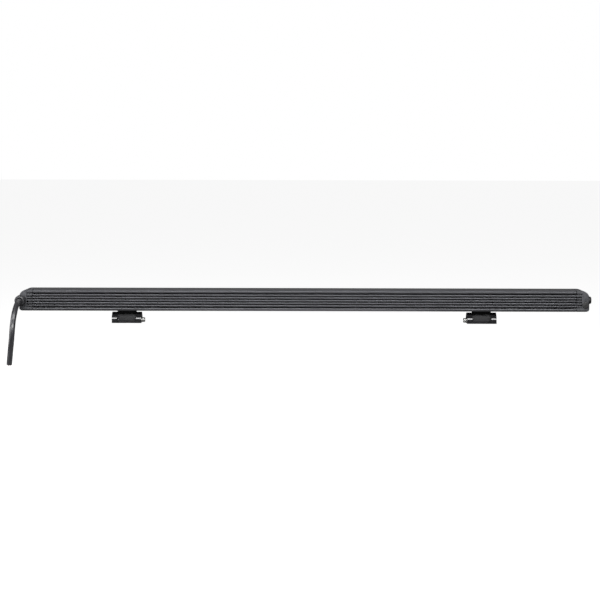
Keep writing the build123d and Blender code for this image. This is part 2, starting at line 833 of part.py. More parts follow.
# ---------------------------------------------------------------- vent plug
vent_face = y_rear - vent_seal_thickness
with BuildPart() as vent_plug:
    with BuildSketch(facing_back(vent_face)):
        with Locations((vent_x, vent_z)):
            Circle(vent_radius)
    extrude(amount=vent_height)
    fillet(vent_plug.faces().sort_by(Axis.Y)[0].edges(), vent_round)
    with BuildSketch(facing_back(vent_face)):
        with Locations((vent_x, vent_z)):
            Circle(vent_stem_radius)
    extrude(amount=-vent_seal_thickness - pocket_rear_wall)
    with BuildSketch(facing_back(vent_face - vent_height)):
        with Locations((vent_x, vent_z)):
            Circle(vent_hole_radius)
    extrude(amount=-vent_height - pocket_rear_wall, mode=Mode.SUBTRACT)
save(vent_plug.part, "vent_plug")

with BuildPart() as vent_seal:
    with BuildSketch(facing_back(vent_face)):
        with Locations((vent_x, vent_z)):
            Circle(vent_seal_radius)
            Circle(vent_stem_radius + thread_gap, mode=Mode.SUBTRACT)
    extrude(amount=-vent_seal_thickness)
save(vent_seal.part, "vent_seal")

# ---------------------------------------------------------------- cable gland
flange_face = y_rear - gland_flange_height
neck_face = flange_face - gland_neck_length
nut_back = flange_face - gland_nut_gap
nut_face = nut_back - gland_nut_length
seal_back = neck_face - pass_gap
seal_face = nut_face + gland_nut_lip + part_gap
jacket_start = neck_face + cable_seat

with BuildPart() as gland_body:
    with BuildSketch(facing_back(y_rear)):
        with Locations((gland_x, gland_z)):
            Circle(gland_thread_radius)
    extrude(amount=-(pocket_rear_wall - thread_relief))
    with BuildSketch(facing_back(y_rear)):
        with Locations((gland_x, gland_z)):
            RegularPolygon(gland_flange_radius, 6)
    extrude(amount=gland_flange_height)
    with BuildSketch(facing_back(flange_face)):
        with Locations((gland_x, gland_z)):
            Circle(gland_neck_radius)
    extrude(amount=gland_neck_length)
    with BuildSketch(facing_back(neck_face)):
        with Locations((gland_x, gland_z)):
            Circle(cable_radius + thread_gap)
    extrude(amount=-cable_seat, mode=Mode.SUBTRACT)
    with BuildSketch(facing_back(neck_face)):
        with Locations((gland_x, gland_z)):
            Circle(gland_core_bore)
    extrude(amount=-(y_pocket_rear - neck_face) - overrun, mode=Mode.SUBTRACT)
save(gland_body.part, "gland_body")

with BuildPart() as gland_nut:
    with BuildSketch(facing_back(nut_back)):
        with Locations((gland_x, gland_z)):
            Circle(gland_nut_radius)
    extrude(amount=gland_nut_length)
    fillet(gland_nut.faces().sort_by(Axis.Y)[0].edges(), gland_nut_round)
    with BuildSketch(facing_back(nut_back)):
        with Locations((gland_x, gland_z)):
            Circle(gland_neck_radius + thread_gap)
    extrude(amount=gland_nut_length - gland_nut_lip, mode=Mode.SUBTRACT)
    with BuildSketch(facing_back(nut_back)):
        with Locations((gland_x, gland_z)):
            Circle(cable_radius + gland_mouth_gap)
    extrude(amount=gland_nut_length, mode=Mode.SUBTRACT)
save(gland_nut.part, "gland_nut")

with BuildPart() as gland_seal:
    with BuildSketch(facing_back(seal_back)):
        with Locations((gland_x, gland_z)):
            Circle(gland_neck_radius - gland_seal_gap)
            Circle(cable_radius + thread_gap, mode=Mode.SUBTRACT)
    extrude(amount=seal_back - seal_face)
save(gland_seal.part, "gland_seal")

# ---------------------------------------------------------------- power cable
tail_shift = Vector(gland_x, y_rear, z_mid) - Vector(*cable_tail_place)
cable_start = (gland_x, jacket_start, gland_z)
cable_points = [cable_start] + [tuple(Vector(*point) + tail_shift) for point in cable_tail]
runs = [Vector(*b) - Vector(*a) for a, b in zip(cable_points, cable_points[1:])]
turns = [a.get_angle(b) for a, b in zip(runs, runs[1:])]
bend_radii = [
    0.45 * min(a.length, b.length) / tan(radians(turn) / 2) for a, b, turn in zip(runs, runs[1:], turns)
]
print("cable runs", [round(run.length, 1) for run in runs])
print("cable turns", [round(turn, 1) for turn in turns])
print("cable radii", [round(radius, 1) for radius in bend_radii])

with BuildPart() as power_cable:
    with BuildLine() as cable_path:
        FilletPolyline(*cable_points, radius=bend_radii)
    with BuildSketch(Plane(origin=cable_points[0], z_dir=runs[0])):
        Circle(cable_radius)
    sweep()
cable_length = sum(edge.length for edge in cable_path.edges())
print("cable length", round(cable_length, 1), "volume ratio",
      round(power_cable.part.volume / (pi * cable_radius**2 * cable_length), 4))
save(power_cable.part, "power_cable")

with BuildPart() as cable_cores:
    with BuildSketch(Plane(origin=cable_points[-1], z_dir=runs[-1])):
        with PolarLocations(core_ring, core_count):
            Circle(core_radius)
    extrude(amount=core_stub)
save(cable_cores.part, "cable_cores")


# ---------------------------------------------------------------- feet, knuckles and sliders
def foot(centre):
    """Forked foot: two round-topped ears on a base frame that is open under the knuckle."""
    with BuildPart() as part:
        for side in (-1, 1):
            with BuildSketch(across(centre + side * ear_inner)):
                with Locations((0, pivot_height)):
                    Circle(ear_radius)
                rectangle_between((-ear_radius, 0), (ear_radius, pivot_height))
                rectangle_between((-ear_radius, -ear_radius), (ear_radius, 0), Mode.SUBTRACT)
            extrude(amount=side * ear_thickness)
        with BuildSketch(Plane.XY):
            rectangle_between((centre - ear_outer, -ear_radius), (centre + ear_outer, ear_radius))
            half_window = knuckle_radius + window_gap
            rectangle_between(
                (centre - ear_inner, -half_window), (centre + ear_inner, half_window), Mode.SUBTRACT
            )
        extrude(amount=base_thickness)
        # tapped holes from below
        with BuildSketch(Plane.XY):
            middle = (ear_inner + ear_outer) / 2
            with Locations(*[(centre + a * middle, b * foot_hole_offset) for a in (-1, 1) for b in (-1, 1)]):
                Circle(foot_hole_radius)
        extrude(amount=foot_hole_depth, mode=Mode.SUBTRACT)
        # pivot bore
        with BuildSketch(across(centre - ear_outer)):
            with Locations((0, pivot_height)):
                Circle(pivot_bolt_radius + thread_gap)
        extrude(amount=2 * ear_outer, mode=Mode.SUBTRACT)
    return part.part


def pivot_bolt(centre, inward):
    """Socket-head bolt, headed on the side towards the middle of the bar."""
    seat = centre + inward * (ear_outer + pivot_washer_thickness)
    with BuildPart() as part:
        with BuildSketch(across(seat)):
            with Locations((0, pivot_height)):
                Circle(pivot_bolt_radius)
        extrude(amount=-inward * (2 * ear_outer + pivot_washer_thickness - pivot_end_gap))
        with BuildSketch(across(seat)):
            with Locations((0, pivot_height)):
                Circle(pivot_head_radius)
        extrude(amount=inward * pivot_head_height)
        head = part.faces().sort_by(Axis.X)[-1 if inward > 0 else 0]
        chamfer(head.edges(), pivot_head_chamfer)
        with BuildSketch(across(seat + inward * pivot_head_height)):
            with Locations((0, pivot_height)):
                RegularPolygon(pivot_socket_radius, 6)
        extrude(amount=-inward * pivot_socket_depth, mode=Mode.SUBTRACT)
    return part.part


def pivot_washer(centre, inward):
    """Washer between the bolt's head and the inner ear."""
    with BuildPart() as part:
        with BuildSketch(across(centre + inward * ear_outer)):
            with Locations((0, pivot_height)):
                Circle(pivot_washer_radius)
                Circle(pivot_bolt_radius + part_gap, mode=Mode.SUBTRACT)
        extrude(amount=inward * pivot_washer_thickness)
    return part.part


def knuckle(centre):
    """Tongue that hangs from the slot and turns between the ears."""
    top = z_bottom - knuckle_top_gap
    with BuildPart() as part:
        with BuildSketch(across(centre - knuckle_width / 2)):
            with Locations((0, pivot_height)):
                Circle(knuckle_radius)
            rectangle_between((-knuckle_radius, pivot_height), (knuckle_radius, top))
            with Locations((0, pivot_height)):
                Circle(pivot_bolt_radius + pin_gap, mode=Mode.SUBTRACT)
        extrude(amount=knuckle_width)
        # neck in the slot's mouth
        neck = slot_mouth / 2 - neck_gap
        with BuildSketch(across(centre - slider_length / 2)):
            rectangle_between((-neck, top), (neck, z_bottom + slot_lip + knuckle_top_gap))
        extrude(amount=slider_length)
        # clamp screw holes, with the heads sunk above the pivot
        with BuildSketch(Plane.XY):
            with Locations(*[(centre + a * clamp_spacing / 2, 0) for a in (-1, 1)]):
                Circle(clamp_radius + part_gap)
        extrude(amount=z_bottom + slot_lip + overrun, mode=Mode.SUBTRACT)
        with BuildSketch(Plane.XY):
            with Locations(*[(centre + a * clamp_spacing / 2, 0) for a in (-1, 1)]):
                Circle(clamp_head_radius + part_gap)
        extrude(amount=clamp_head_seat + clamp_head_height, mode=Mode.SUBTRACT)
    return part.part


def slider(centre):
    """Threaded bar in the T-slot that the clamp screws pull down."""
    half = slot_width / 2 - slider_side_gap
    floor = z_bottom + slot_lip + knuckle_top_gap
    with BuildPart() as part:
        with BuildSketch(Plane.XY.offset(floor)):
            rectangle_between((centre - slider_length / 2, -half), (centre + slider_length / 2, half))
            with Locations(*[(centre + a * clamp_spacing / 2, 0) for a in (-1, 1)]):
                Circle(clamp_radius + thread_gap, mode=Mode.SUBTRACT)
        extrude(amount=slot_top - slider_top_gap - floor)
    return part.part


def clamp_screws(centre):
    """Two socket-head screws from the knuckle up into the slider."""
    seat = clamp_head_seat + clamp_head_height
    places = [(centre + a * clamp_spacing / 2, 0) for a in (-1, 1)]
    with BuildPart() as part:
        with BuildSketch(Plane.XY.offset(seat)):
            with Locations(*places):
                Circle(clamp_radius)
        extrude(amount=slot_top - slider_top_gap - clamp_end_gap - seat)
        with BuildSketch(Plane.XY.offset(seat)):
            with Locations(*places):
                Circle(clamp_head_radius)
        extrude(amount=-clamp_head_height)
        with BuildSketch(Plane.XY.offset(seat - clamp_head_height)):
            with Locations(*places):
                RegularPolygon(clamp_socket_radius, 6)
        extrude(amount=clamp_socket_depth, mode=Mode.SUBTRACT)
    return part.part


for side, name in ((-1, "left"), (1, "right")):
    centre = side * foot_spacing / 2
    save(foot(centre), f"{name}_foot")
    save(pivot_bolt(centre, -side), f"{name}_pivot_bolt")
    save(pivot_washer(centre, -side), f"{name}_pivot_washer")
    save(knuckle(centre), f"{name}_knuckle")
    save(slider(centre), f"{name}_slider")
    save(clamp_screws(centre), f"{name}_clamp_screws")
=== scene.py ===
"""Looks of a slim LED light bar, built around its CAD frame.

Every piece is in metres in the frame's own axes: X along the bar, +Y the way the beam points, +Z up.
"""
import json
import logging
import math
from dataclasses import dataclass, replace
from enum import Enum
from typing import Iterable, Sequence

import bmesh
import bpy
from mathutils import Matrix, Quaternion, Vector


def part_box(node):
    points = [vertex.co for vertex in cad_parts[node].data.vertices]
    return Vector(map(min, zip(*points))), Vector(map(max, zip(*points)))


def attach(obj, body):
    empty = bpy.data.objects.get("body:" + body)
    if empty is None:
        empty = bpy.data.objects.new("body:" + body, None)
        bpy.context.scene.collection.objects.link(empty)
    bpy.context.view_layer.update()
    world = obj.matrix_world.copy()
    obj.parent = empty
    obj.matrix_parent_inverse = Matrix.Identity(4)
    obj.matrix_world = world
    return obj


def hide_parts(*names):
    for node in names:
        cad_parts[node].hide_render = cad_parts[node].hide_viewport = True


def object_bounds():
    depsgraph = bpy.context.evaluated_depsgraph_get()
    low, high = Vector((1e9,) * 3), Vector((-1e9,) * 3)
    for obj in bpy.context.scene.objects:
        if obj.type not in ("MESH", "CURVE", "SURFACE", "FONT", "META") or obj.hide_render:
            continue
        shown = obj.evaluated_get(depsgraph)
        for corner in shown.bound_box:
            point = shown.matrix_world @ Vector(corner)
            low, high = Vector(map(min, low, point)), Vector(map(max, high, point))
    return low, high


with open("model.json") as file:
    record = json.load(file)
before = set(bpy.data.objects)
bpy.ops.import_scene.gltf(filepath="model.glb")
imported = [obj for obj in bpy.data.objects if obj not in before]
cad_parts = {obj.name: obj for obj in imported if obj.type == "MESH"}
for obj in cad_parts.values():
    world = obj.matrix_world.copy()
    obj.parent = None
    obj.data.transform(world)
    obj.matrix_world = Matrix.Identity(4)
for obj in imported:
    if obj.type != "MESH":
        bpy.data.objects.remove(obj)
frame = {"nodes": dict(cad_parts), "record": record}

CAD_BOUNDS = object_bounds()
MM = 0.001
UP = Vector((0, 0, 1))
LAMP = "lamp"
log = logging.getLogger("light_bar")

Colour = tuple[float, float, float]
Point = tuple[float, float, float]

# sockets that share their name with others, by their place on the node
MIX_FACTOR, MIX_FIRST, MIX_SECOND, MIX_RESULT = 0, 6, 7, 2
RANDOM_FLOAT_MAX, RANDOM_FLOAT = 3, 1
TEXTURE_LOW, TEXTURE_HIGH = 0.3, 0.7        # where nearly all of a texture's values lie
COAT_ROUGHNESS = 0.12


# ------------------------------------------------------------------ finishes
class Slot(Enum):
    """Finishes of the object, by the name of their material slot in the record."""

    ANODISED = "black_anodised"
    CAST = "black_cast"
    MATTE = "black_matte"
    GLOSS = "black_gloss"
    BEZEL = "bezel_black"
    LENS = "clear_lens"
    RUBBER = "black_rubber"
    JACKET = "cable_jacket"
    CHROME = "reflector_chrome"
    LED_BOARD = "board_white"
    PHOSPHOR = "chip_yellow"
    STEEL = "steel"
    SCREW = "screw_black"
    CIRCUIT = "board_green"
    COMPONENT = "component_black"
    WINDING = "ferrite_copper"
    SLEEVE = "capacitor_sleeve"
    RED_WIRE = "wire_red"
    BLACK_WIRE = "wire_black"
    COPPER = "copper"
    VENT = "vent_black"
    NYLON = "gland_black"


class Texture(Enum):
    """Kinds of procedural texture that a layer can use."""

    NOISE = "ShaderNodeTexNoise"
    CELLS = "ShaderNodeTexVoronoi"
    BANDS = "ShaderNodeTexWave"


@dataclass(frozen=True)
class Grain:
    """One layer of texture: its scale per metre, how it is stretched, its depth and its kind."""

    scale: float
    stretch: Point = (1.0, 1.0, 1.0)
    detail: float = 3.0
    depth: float = 0.0
    on_uv: bool = False
    kind: Texture = Texture.NOISE


class Wiring:
    """A node tree, written one node at a time."""

    tree: bpy.types.NodeTree

    def add(self, kind: str, **settings: object) -> bpy.types.Node:
        """Add a node and set its properties."""
        node = self.tree.nodes.new(kind)
        for name, value in settings.items():
            setattr(node, name, value)
        return node

    def link(self, source: bpy.types.NodeSocket, target: bpy.types.NodeSocket) -> None:
        """Join two sockets."""
        self.tree.links.new(source, target)


class NodeSheet(Wiring):
    """A material's node tree."""

    def __init__(self, name: str) -> None:
        """Start a material with a principled shader."""
        self.material = bpy.data.materials.new(name)
        self.material.use_nodes = True
        self.tree = self.material.node_tree
        self.tree.nodes.clear()
        output = self.add("ShaderNodeOutputMaterial")
        self.surface = self.add("ShaderNodeBsdfPrincipled")
        self.link(self.surface.outputs["BSDF"], output.inputs["Surface"])

    def texture(self, grain: Grain) -> bpy.types.NodeSocket:
        """Texture of a grain, on object coordinates or on the piece's own UV map.

        Args:
            grain: the layer.

        Returns:
            Its factor output.
        """
        place = self.add("ShaderNodeTexCoord")
        mapping = self.add("ShaderNodeMapping")
        mapping.inputs["Scale"].default_value = grain.stretch
        self.link(place.outputs["UV" if grain.on_uv else "Object"], mapping.inputs["Vector"])
        node = self.add(grain.kind.value)
        node.inputs["Scale"].default_value = grain.scale
        self.link(mapping.outputs["Vector"], node.inputs["Vector"])
        if grain.kind is Texture.CELLS:
            node.feature = "DISTANCE_TO_EDGE"
            return node.outputs["Distance"]
        node.inputs["Detail"].default_value = grain.detail
        return node.outputs["Fac"]

    def spread(self, value: bpy.types.NodeSocket, low: float, high: float) -> bpy.types.NodeSocket:
        """Carry the middle of a texture's range over to the range from low to high."""
        node = self.add("ShaderNodeMapRange")
        node.inputs["From Min"].default_value = TEXTURE_LOW
        node.inputs["From Max"].default_value = TEXTURE_HIGH
        node.inputs["To Min"].default_value = low
        node.inputs["To Max"].default_value = high
        self.link(value, node.inputs["Value"])
        return node.outputs["Result"]

    def blend(self, factor: bpy.types.NodeSocket, first: Colour, second: Colour) -> bpy.types.NodeSocket:
        """Mix two colours by a factor."""
        node = self.add("ShaderNodeMix", data_type="RGBA")
        node.inputs[MIX_FIRST].default_value = (*first, 1.0)
        node.inputs[MIX_SECOND].default_value = (*second, 1.0)
        self.link(factor, node.inputs[MIX_FACTOR])
        return node.outputs[MIX_RESULT]

    def relief(self, layers: Iterable[Grain]) -> None:
        """Lay fine relief on the surface, one bump over another."""
        below = None
        for grain in layers:
            bump = self.add("ShaderNodeBump")
            bump.inputs["Strength"].default_value = 1.0
            bump.inputs["Distance"].default_value = grain.depth
            self.link(self.texture(grain), bump.inputs["Height"])
            if below is not None:
                self.link(below, bump.inputs["Normal"])
            below = bump.outputs["Normal"]
        if below is not None:
            self.link(below, self.surface.inputs["Normal"])


@dataclass(frozen=True)
class Finish:
    """A surface finish: two tones laid in patches, a range of roughness, and fine relief."""

    slot: Slot
    colour: Colour
    second: Colour
    patches: Grain
    roughness: tuple[float, float]
    relief: tuple[Grain, ...] = ()
    metallic: float = 0.0
    coat: float = 0.0
    ior: float = 1.5
    transmission: float = 0.0
    glow: float = 0.0

    def build(self) -> bpy.types.Material:
        """Make the material.

        Returns:
            The finished material, named after its slot.
        """
        sheet = NodeSheet(self.slot.value)
        surface = sheet.surface
        patches = sheet.spread(sheet.texture(self.patches), 0.0, 1.0)
        sheet.link(sheet.blend(patches, self.colour, self.second), surface.inputs["Base Color"])
        wear = sheet.spread(sheet.texture(self.patches), *self.roughness)
        sheet.link(wear, surface.inputs["Roughness"])
        surface.inputs["Metallic"].default_value = self.metallic
        surface.inputs["Coat Weight"].default_value = self.coat
        surface.inputs["Coat Roughness"].default_value = COAT_ROUGHNESS
        surface.inputs["IOR"].default_value = self.ior
        surface.inputs["Transmission Weight"].default_value = self.transmission
        if self.glow:
            surface.inputs["Emission Color"].default_value = (*self.colour, 1.0)
            surface.inputs["Emission Strength"].default_value = self.glow
        sheet.relief(self.relief)
        return sheet.material


DRAWN = (0.02, 1.0, 1.0)            # long in X, as drawn metal is
FINISHES: tuple[Finish, ...] = (
    Finish(Slot.ANODISED, (0.084, 0.085, 0.092), (0.120, 0.121, 0.130),
           Grain(900, DRAWN), (0.34, 0.46),
           (Grain(2600, DRAWN, 2, 0.03 * MM), Grain(5200, depth=0.012 * MM)),
           metallic=0.75),
    Finish(Slot.MATTE, (0.016, 0.016, 0.018), (0.026, 0.026, 0.029),
           Grain(380), (0.5, 0.64),
           (Grain(1600, detail=4, depth=0.06 * MM),)),
    Finish(Slot.CAST, (0.052, 0.053, 0.058), (0.076, 0.077, 0.084),
           Grain(420), (0.42, 0.56),
           (Grain(1500, detail=4, depth=0.06 * MM), Grain(2400, depth=0.02 * MM, kind=Texture.CELLS)),
           metallic=0.4),
    Finish(Slot.GLOSS, (0.012, 0.012, 0.013), (0.020, 0.020, 0.022),
           Grain(260), (0.12, 0.24),
           (Grain(700, detail=2, depth=0.02 * MM),), coat=0.6),
    Finish(Slot.BEZEL, (0.018, 0.018, 0.019), (0.028, 0.028, 0.030),
           Grain(600, DRAWN), (0.34, 0.46),
           (Grain(3000, depth=0.02 * MM),)),
    Finish(Slot.LENS, (0.97, 0.985, 1.0), (0.94, 0.97, 0.99),
           Grain(60), (0.02, 0.05), ior=1.58, transmission=1.0),
    Finish(Slot.RUBBER, (0.012, 0.012, 0.012), (0.022, 0.022, 0.022),
           Grain(500), (0.68, 0.85),
           (Grain(2500, depth=0.05 * MM),)),
    Finish(Slot.JACKET, (0.020, 0.020, 0.022), (0.040, 0.040, 0.045),
           Grain(1.0, (9.0, 30.0, 1.0), on_uv=True), (0.24, 0.40),
           (Grain(1.0, (40.0, 60.0, 1.0), 2, 0.05 * MM, True),
            Grain(3200, depth=0.02 * MM)), coat=0.25),
    Finish(Slot.CHROME, (0.90, 0.90, 0.92), (0.82, 0.83, 0.86),
           Grain(90), (0.05, 0.12),
           (Grain(800, depth=0.01 * MM),), metallic=1.0),
    Finish(Slot.LED_BOARD, (0.80, 0.81, 0.79), (0.70, 0.71, 0.69),
           Grain(160, kind=Texture.CELLS), (0.35, 0.5),
           (Grain(260, depth=0.05 * MM, kind=Texture.CELLS),)),
    Finish(Slot.PHOSPHOR, (0.92, 0.74, 0.16), (0.98, 0.85, 0.32),
           Grain(1400), (0.12, 0.3),
           (Grain(4000, depth=0.01 * MM),), coat=0.8),
    Finish(Slot.STEEL, (0.60, 0.60, 0.58), (0.42, 0.42, 0.41),
           Grain(700), (0.20, 0.38),
           (Grain(3500, (1.0, 1.0, 0.1), depth=0.015 * MM),), metallic=1.0),
    Finish(Slot.SCREW, (0.025, 0.025, 0.027), (0.060, 0.058, 0.055),
           Grain(900), (0.30, 0.5),
           (Grain(3500, depth=0.02 * MM),), metallic=0.7),
    Finish(Slot.CIRCUIT, (0.010, 0.110, 0.045), (0.020, 0.200, 0.080),
           Grain(240, kind=Texture.CELLS), (0.2, 0.36),
           (Grain(420, depth=0.08 * MM, kind=Texture.CELLS),), coat=0.5),
    Finish(Slot.COMPONENT, (0.020, 0.020, 0.021), (0.034, 0.034, 0.035),
           Grain(800), (0.5, 0.7),
           (Grain(4000, depth=0.03 * MM),)),
    Finish(Slot.WINDING, (0.52, 0.21, 0.08), (0.20, 0.08, 0.04),
           Grain(260, kind=Texture.BANDS), (0.22, 0.4),
           (Grain(420, depth=0.2 * MM, kind=Texture.BANDS),), metallic=0.8),
    Finish(Slot.SLEEVE, (0.015, 0.025, 0.080), (0.025, 0.040, 0.120),
           Grain(300), (0.2, 0.35),
           (Grain(1800, depth=0.02 * MM),), coat=0.4),
    Finish(Slot.RED_WIRE, (0.42, 0.015, 0.012), (0.52, 0.03, 0.02),
           Grain(400), (0.3, 0.45), (Grain(2600, depth=0.02 * MM),)),
    Finish(Slot.BLACK_WIRE, (0.015, 0.015, 0.015), (0.03, 0.03, 0.03),
           Grain(400), (0.3, 0.45), (Grain(2600, depth=0.02 * MM),)),
    Finish(Slot.COPPER, (0.80, 0.38, 0.20), (0.55, 0.24, 0.12),
           Grain(2500), (0.25, 0.4), (Grain(6000, depth=0.01 * MM),),
           metallic=1.0),
    Finish(Slot.VENT, (0.014, 0.014, 0.015), (0.024, 0.024, 0.025),
           Grain(700), (0.45, 0.6), (Grain(3500, depth=0.03 * MM),)),
    Finish(Slot.NYLON, (0.020, 0.020, 0.022), (0.034, 0.034, 0.037),
           Grain(500), (0.26, 0.42),
           (Grain(2600, depth=0.02 * MM),)),
)


class Paintbox:
    """The object's materials, one for each slot."""

    def __init__(self) -> None:
        """Build every finish once."""
        self.materials = {finish.slot: finish.build() for finish in FINISHES}

    def of(self, slot: Slot) -> bpy.types.Material:
        """Material of a slot."""
        return self.materials[slot]

    def dress_frame(self) -> None:
        """Give every CAD node the material of its slot in the record."""
        for part in frame["record"]["subparts"]:
            mesh = frame["nodes"][part["node"]].data
            mesh.materials.clear()
            mesh.materials.append(self.of(Slot(part["material_slot"])))


# ------------------------------------------------------------------ mesh tools
def shade(mesh: bpy.types.Mesh, sharp_angle: float = 32.0) -> bpy.types.Mesh:
    """Smooth a mesh, apart from edges sharper than an angle in degrees."""
    mesh.shade_smooth()
    mesh.set_sharp_from_angle(angle=math.radians(sharp_angle))
    return mesh


def new_object(name: str, data: bpy.types.ID) -> bpy.types.Object:
    """Object at the origin, linked to the scene."""
    made = bpy.data.objects.new(name, data)
    bpy.context.scene.collection.objects.link(made)
    return made


def evaluated(maker: bpy.types.Object) -> bpy.types.Mesh:
    """Mesh of an object as its modifiers or its curve make it; the object is removed."""
    bpy.context.view_layer.update()
    graph = bpy.context.evaluated_depsgraph_get()
    mesh = bpy.data.meshes.new_from_object(maker.evaluated_get(graph), depsgraph=graph)
    bpy.data.objects.remove(maker)
    return mesh


def baked(maker: bpy.types.Object, name: str) -> bpy.types.Object:
    """Plain mesh of an object as its modifiers leave it, in place of that object.

    Args:
        maker: object with live modifiers, which is removed.
        name: name of the new object.

    Returns:
        The new object.
    """
    return new_object(name, evaluated(maker))


@dataclass(frozen=True)
class Placed:
    """What a finished piece rides on, the slot it is painted from, and the nodes it stands for."""

    body: str
    slot: Slot
    nodes: tuple[str, ...]


def settle(piece: bpy.types.Object, placed: Placed, paint: Paintbox) -> bpy.types.Object:
    """Paint a piece, let it ride on its body, and hide the nodes it stands for."""
    piece.data.materials.clear()
    piece.data.materials.append(paint.of(placed.slot))
    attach(piece, placed.body)
    if placed.nodes:
        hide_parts(*placed.nodes)
    log.info("%s: %d faces, stands for %s", piece.name, len(piece.data.polygons), ", ".join(placed.nodes))
    return piece


def seat_of(node: str, out: Vector) -> Vector:
    """Middle of the face of a CAD node that looks away from a direction along X."""
    low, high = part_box(node)
    middle = (low + high) / 2
    return Vector((low.x if out.x > 0 else high.x, middle.y, middle.z))


def cut_to(screw: "Screw", node: str) -> "Screw":
    """Screw with its shank as long as the CAD node's, along X."""
    low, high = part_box(node)
    return replace(screw, shank_length=(high.x - low.x) / MM - screw.head_height)


def merged_copy(node: str) -> bmesh.types.BMesh:
    """CAD node's mesh with its doubles merged and its flat faces joined up."""
    source = frame["nodes"][node].data
    mesh = bmesh.new()
    corners = [mesh.verts.new(v.co) for v in source.vertices]
    for face in source.polygons:
        mesh.faces.new([corners[i] for i in face.vertices])
    bmesh.ops.remove_doubles(mesh, verts=mesh.verts, dist=0.002 * MM)
    bmesh.ops.dissolve_limit(mesh, angle_limit=math.radians(0.8), verts=mesh.verts, edges=mesh.edges)
    return mesh


def solids(node: str) -> list[tuple[Vector, Vector]]:
    """Lowest and highest corner of each separate solid of a CAD node, in order along the bar."""
    mesh = merged_copy(node)
    left = set(mesh.verts)
    found = []
    while left:
        patch, edge = set(), [left.pop()]
        while edge:
            vert = edge.pop()
            patch.add(vert)
            for step in vert.link_edges:
                other = step.other_vert(vert)
                if other in left:
                    left.remove(other)
                    edge.append(other)
        places = [v.co for v in patch]
        found.append((
            Vector([min(p[k] for p in places) for k in range(3)]),
            Vector([max(p[k] for p in places) for k in range(3)]),
        ))
    mesh.free()
    return sorted(found, key=lambda box: (round(box[0].x, 4), round(box[0].z, 4)))


def softened(node: str, name: str, round_off: float, steps: int = 3) -> bpy.types.Object:
    """Copy of a CAD node whose edges are rounded, as cast and machined edges are.

    Args:
        node: CAD node with the right shape.
        name: name of the new piece.
        round_off: width of the rounding in metres.
        steps: faces across a rounding.

    Returns:
        The piece, with its rounding in its mesh.
    """
    mesh = bpy.data.meshes.new(name)
    copy = merged_copy(node)
    copy.to_mesh(mesh)
    copy.free()
    maker = new_object(name + "_blank", mesh)
    bevel = maker.modifiers.new("round_off", "BEVEL")
    bevel.width = round_off
    bevel.segments = steps
    bevel.limit_method = "ANGLE"
    bevel.angle_limit = math.radians(34)
    bevel.use_clamp_overlap = True
    piece = baked(maker, name)
    shade(piece.data, 40)
    return piece


# ------------------------------------------------------------------ turned pieces
class Outline(Enum):
    """Cross-sections of a turned piece."""

    ROUND = "round"
    HEX = "hex"
    KNURL = "knurl"
    GRIP = "grip"
    STAR = "star"

    def reach(self, angle: float) -> float:
        """Radius at an angle, as a share of the largest radius."""
        if self is Outline.HEX:
            sixth = math.pi / 3
            return math.cos(sixth / 2) / math.cos(angle % sixth - sixth / 2)
        if self is Outline.KNURL:
            return 1.0 - 0.016 * (1 + math.cos(36 * angle))
        if self is Outline.GRIP:
            return 1.0 - 0.05 * max(0.0, math.cos(12 * angle)) ** 2
        if self is Outline.STAR:
            return 1.0 - 0.10 * (1 + math.cos(6 * angle))
        return 1.0


@dataclass(frozen=True)
class Ring:
    """One ring of a turned piece: its radius and height in millimetres, and its outline."""

    radius: float
    height: float
    outline: Outline = Outline.ROUND


def turned(name: str, rings: Sequence[Ring], hollow: bool = False, steps: int = 144) -> bpy.types.Mesh:
    """Mesh turned about +Z from rings, from the shank's tip up over the head.

    Args:
        name: name of the mesh.
        rings: the rings in order along the surface.
        hollow: whether the last ring joins the first, as round a bore, or both ends are closed.
        steps: points round a ring.

    Returns:
        The closed mesh.
    """
    mesh = bmesh.new()
    loops = []
    for ring in rings:
        points = []
        for i in range(steps):
            angle = 2 * math.pi * i / steps
            radius = ring.radius * MM * ring.outline.reach(angle)
            place = (radius * math.cos(angle), radius * math.sin(angle), ring.height * MM)
            points.append(mesh.verts.new(place))
        loops.append(points)
    pairs = list(zip(loops, loops[1:]))
    if hollow:
        pairs.append((loops[-1], loops[0]))
    for low, high in pairs:
        for i in range(steps):
            j = (i + 1) % steps
            mesh.faces.new((low[i], low[j], high[j], high[i]))
    if not hollow:
        mesh.faces.new(list(reversed(loops[0])))
        mesh.faces.new(loops[-1])
    bmesh.ops.recalc_face_normals(mesh, faces=mesh.faces)
    made = bpy.data.meshes.new(name)
    mesh.to_mesh(made)
    mesh.free()
    return shade(made)


def rounded(radius: float, height: float, corner: float, rising: bool, steps: int = 4) -> list[Ring]:
    """Rings round the outer corner of a head, in a quarter turn.

    Args:
        radius: radius of the head in millimetres.
        height: height of its flat face.
        corner: radius of the corner.
        rising: whether the surface turns from the side to the upper face, or from the lower face
            to the side.
        steps: faces across the corner.

    Returns:
        The rings.
    """
    rings = []
    for i in range(steps + 1):
        turn = math.pi / 2 * i / steps
        out, up = (math.cos(turn), math.sin(turn)) if rising else (math.sin(turn), math.cos(turn))
        lift = corner * (1 - up)
        rings.append(Ring(radius - corner * (1 - out), height - lift if rising else height + lift))
    return rings


def stand(mesh: bpy.types.Mesh, at: Vector, along: Vector) -> bpy.types.Mesh:
    """Move a turned mesh so that its axis runs from a point along a direction."""
    turn = UP.rotation_difference(along.normalized())
    mesh.transform(Matrix.Translation(at) @ turn.to_matrix().to_4x4())
    return mesh


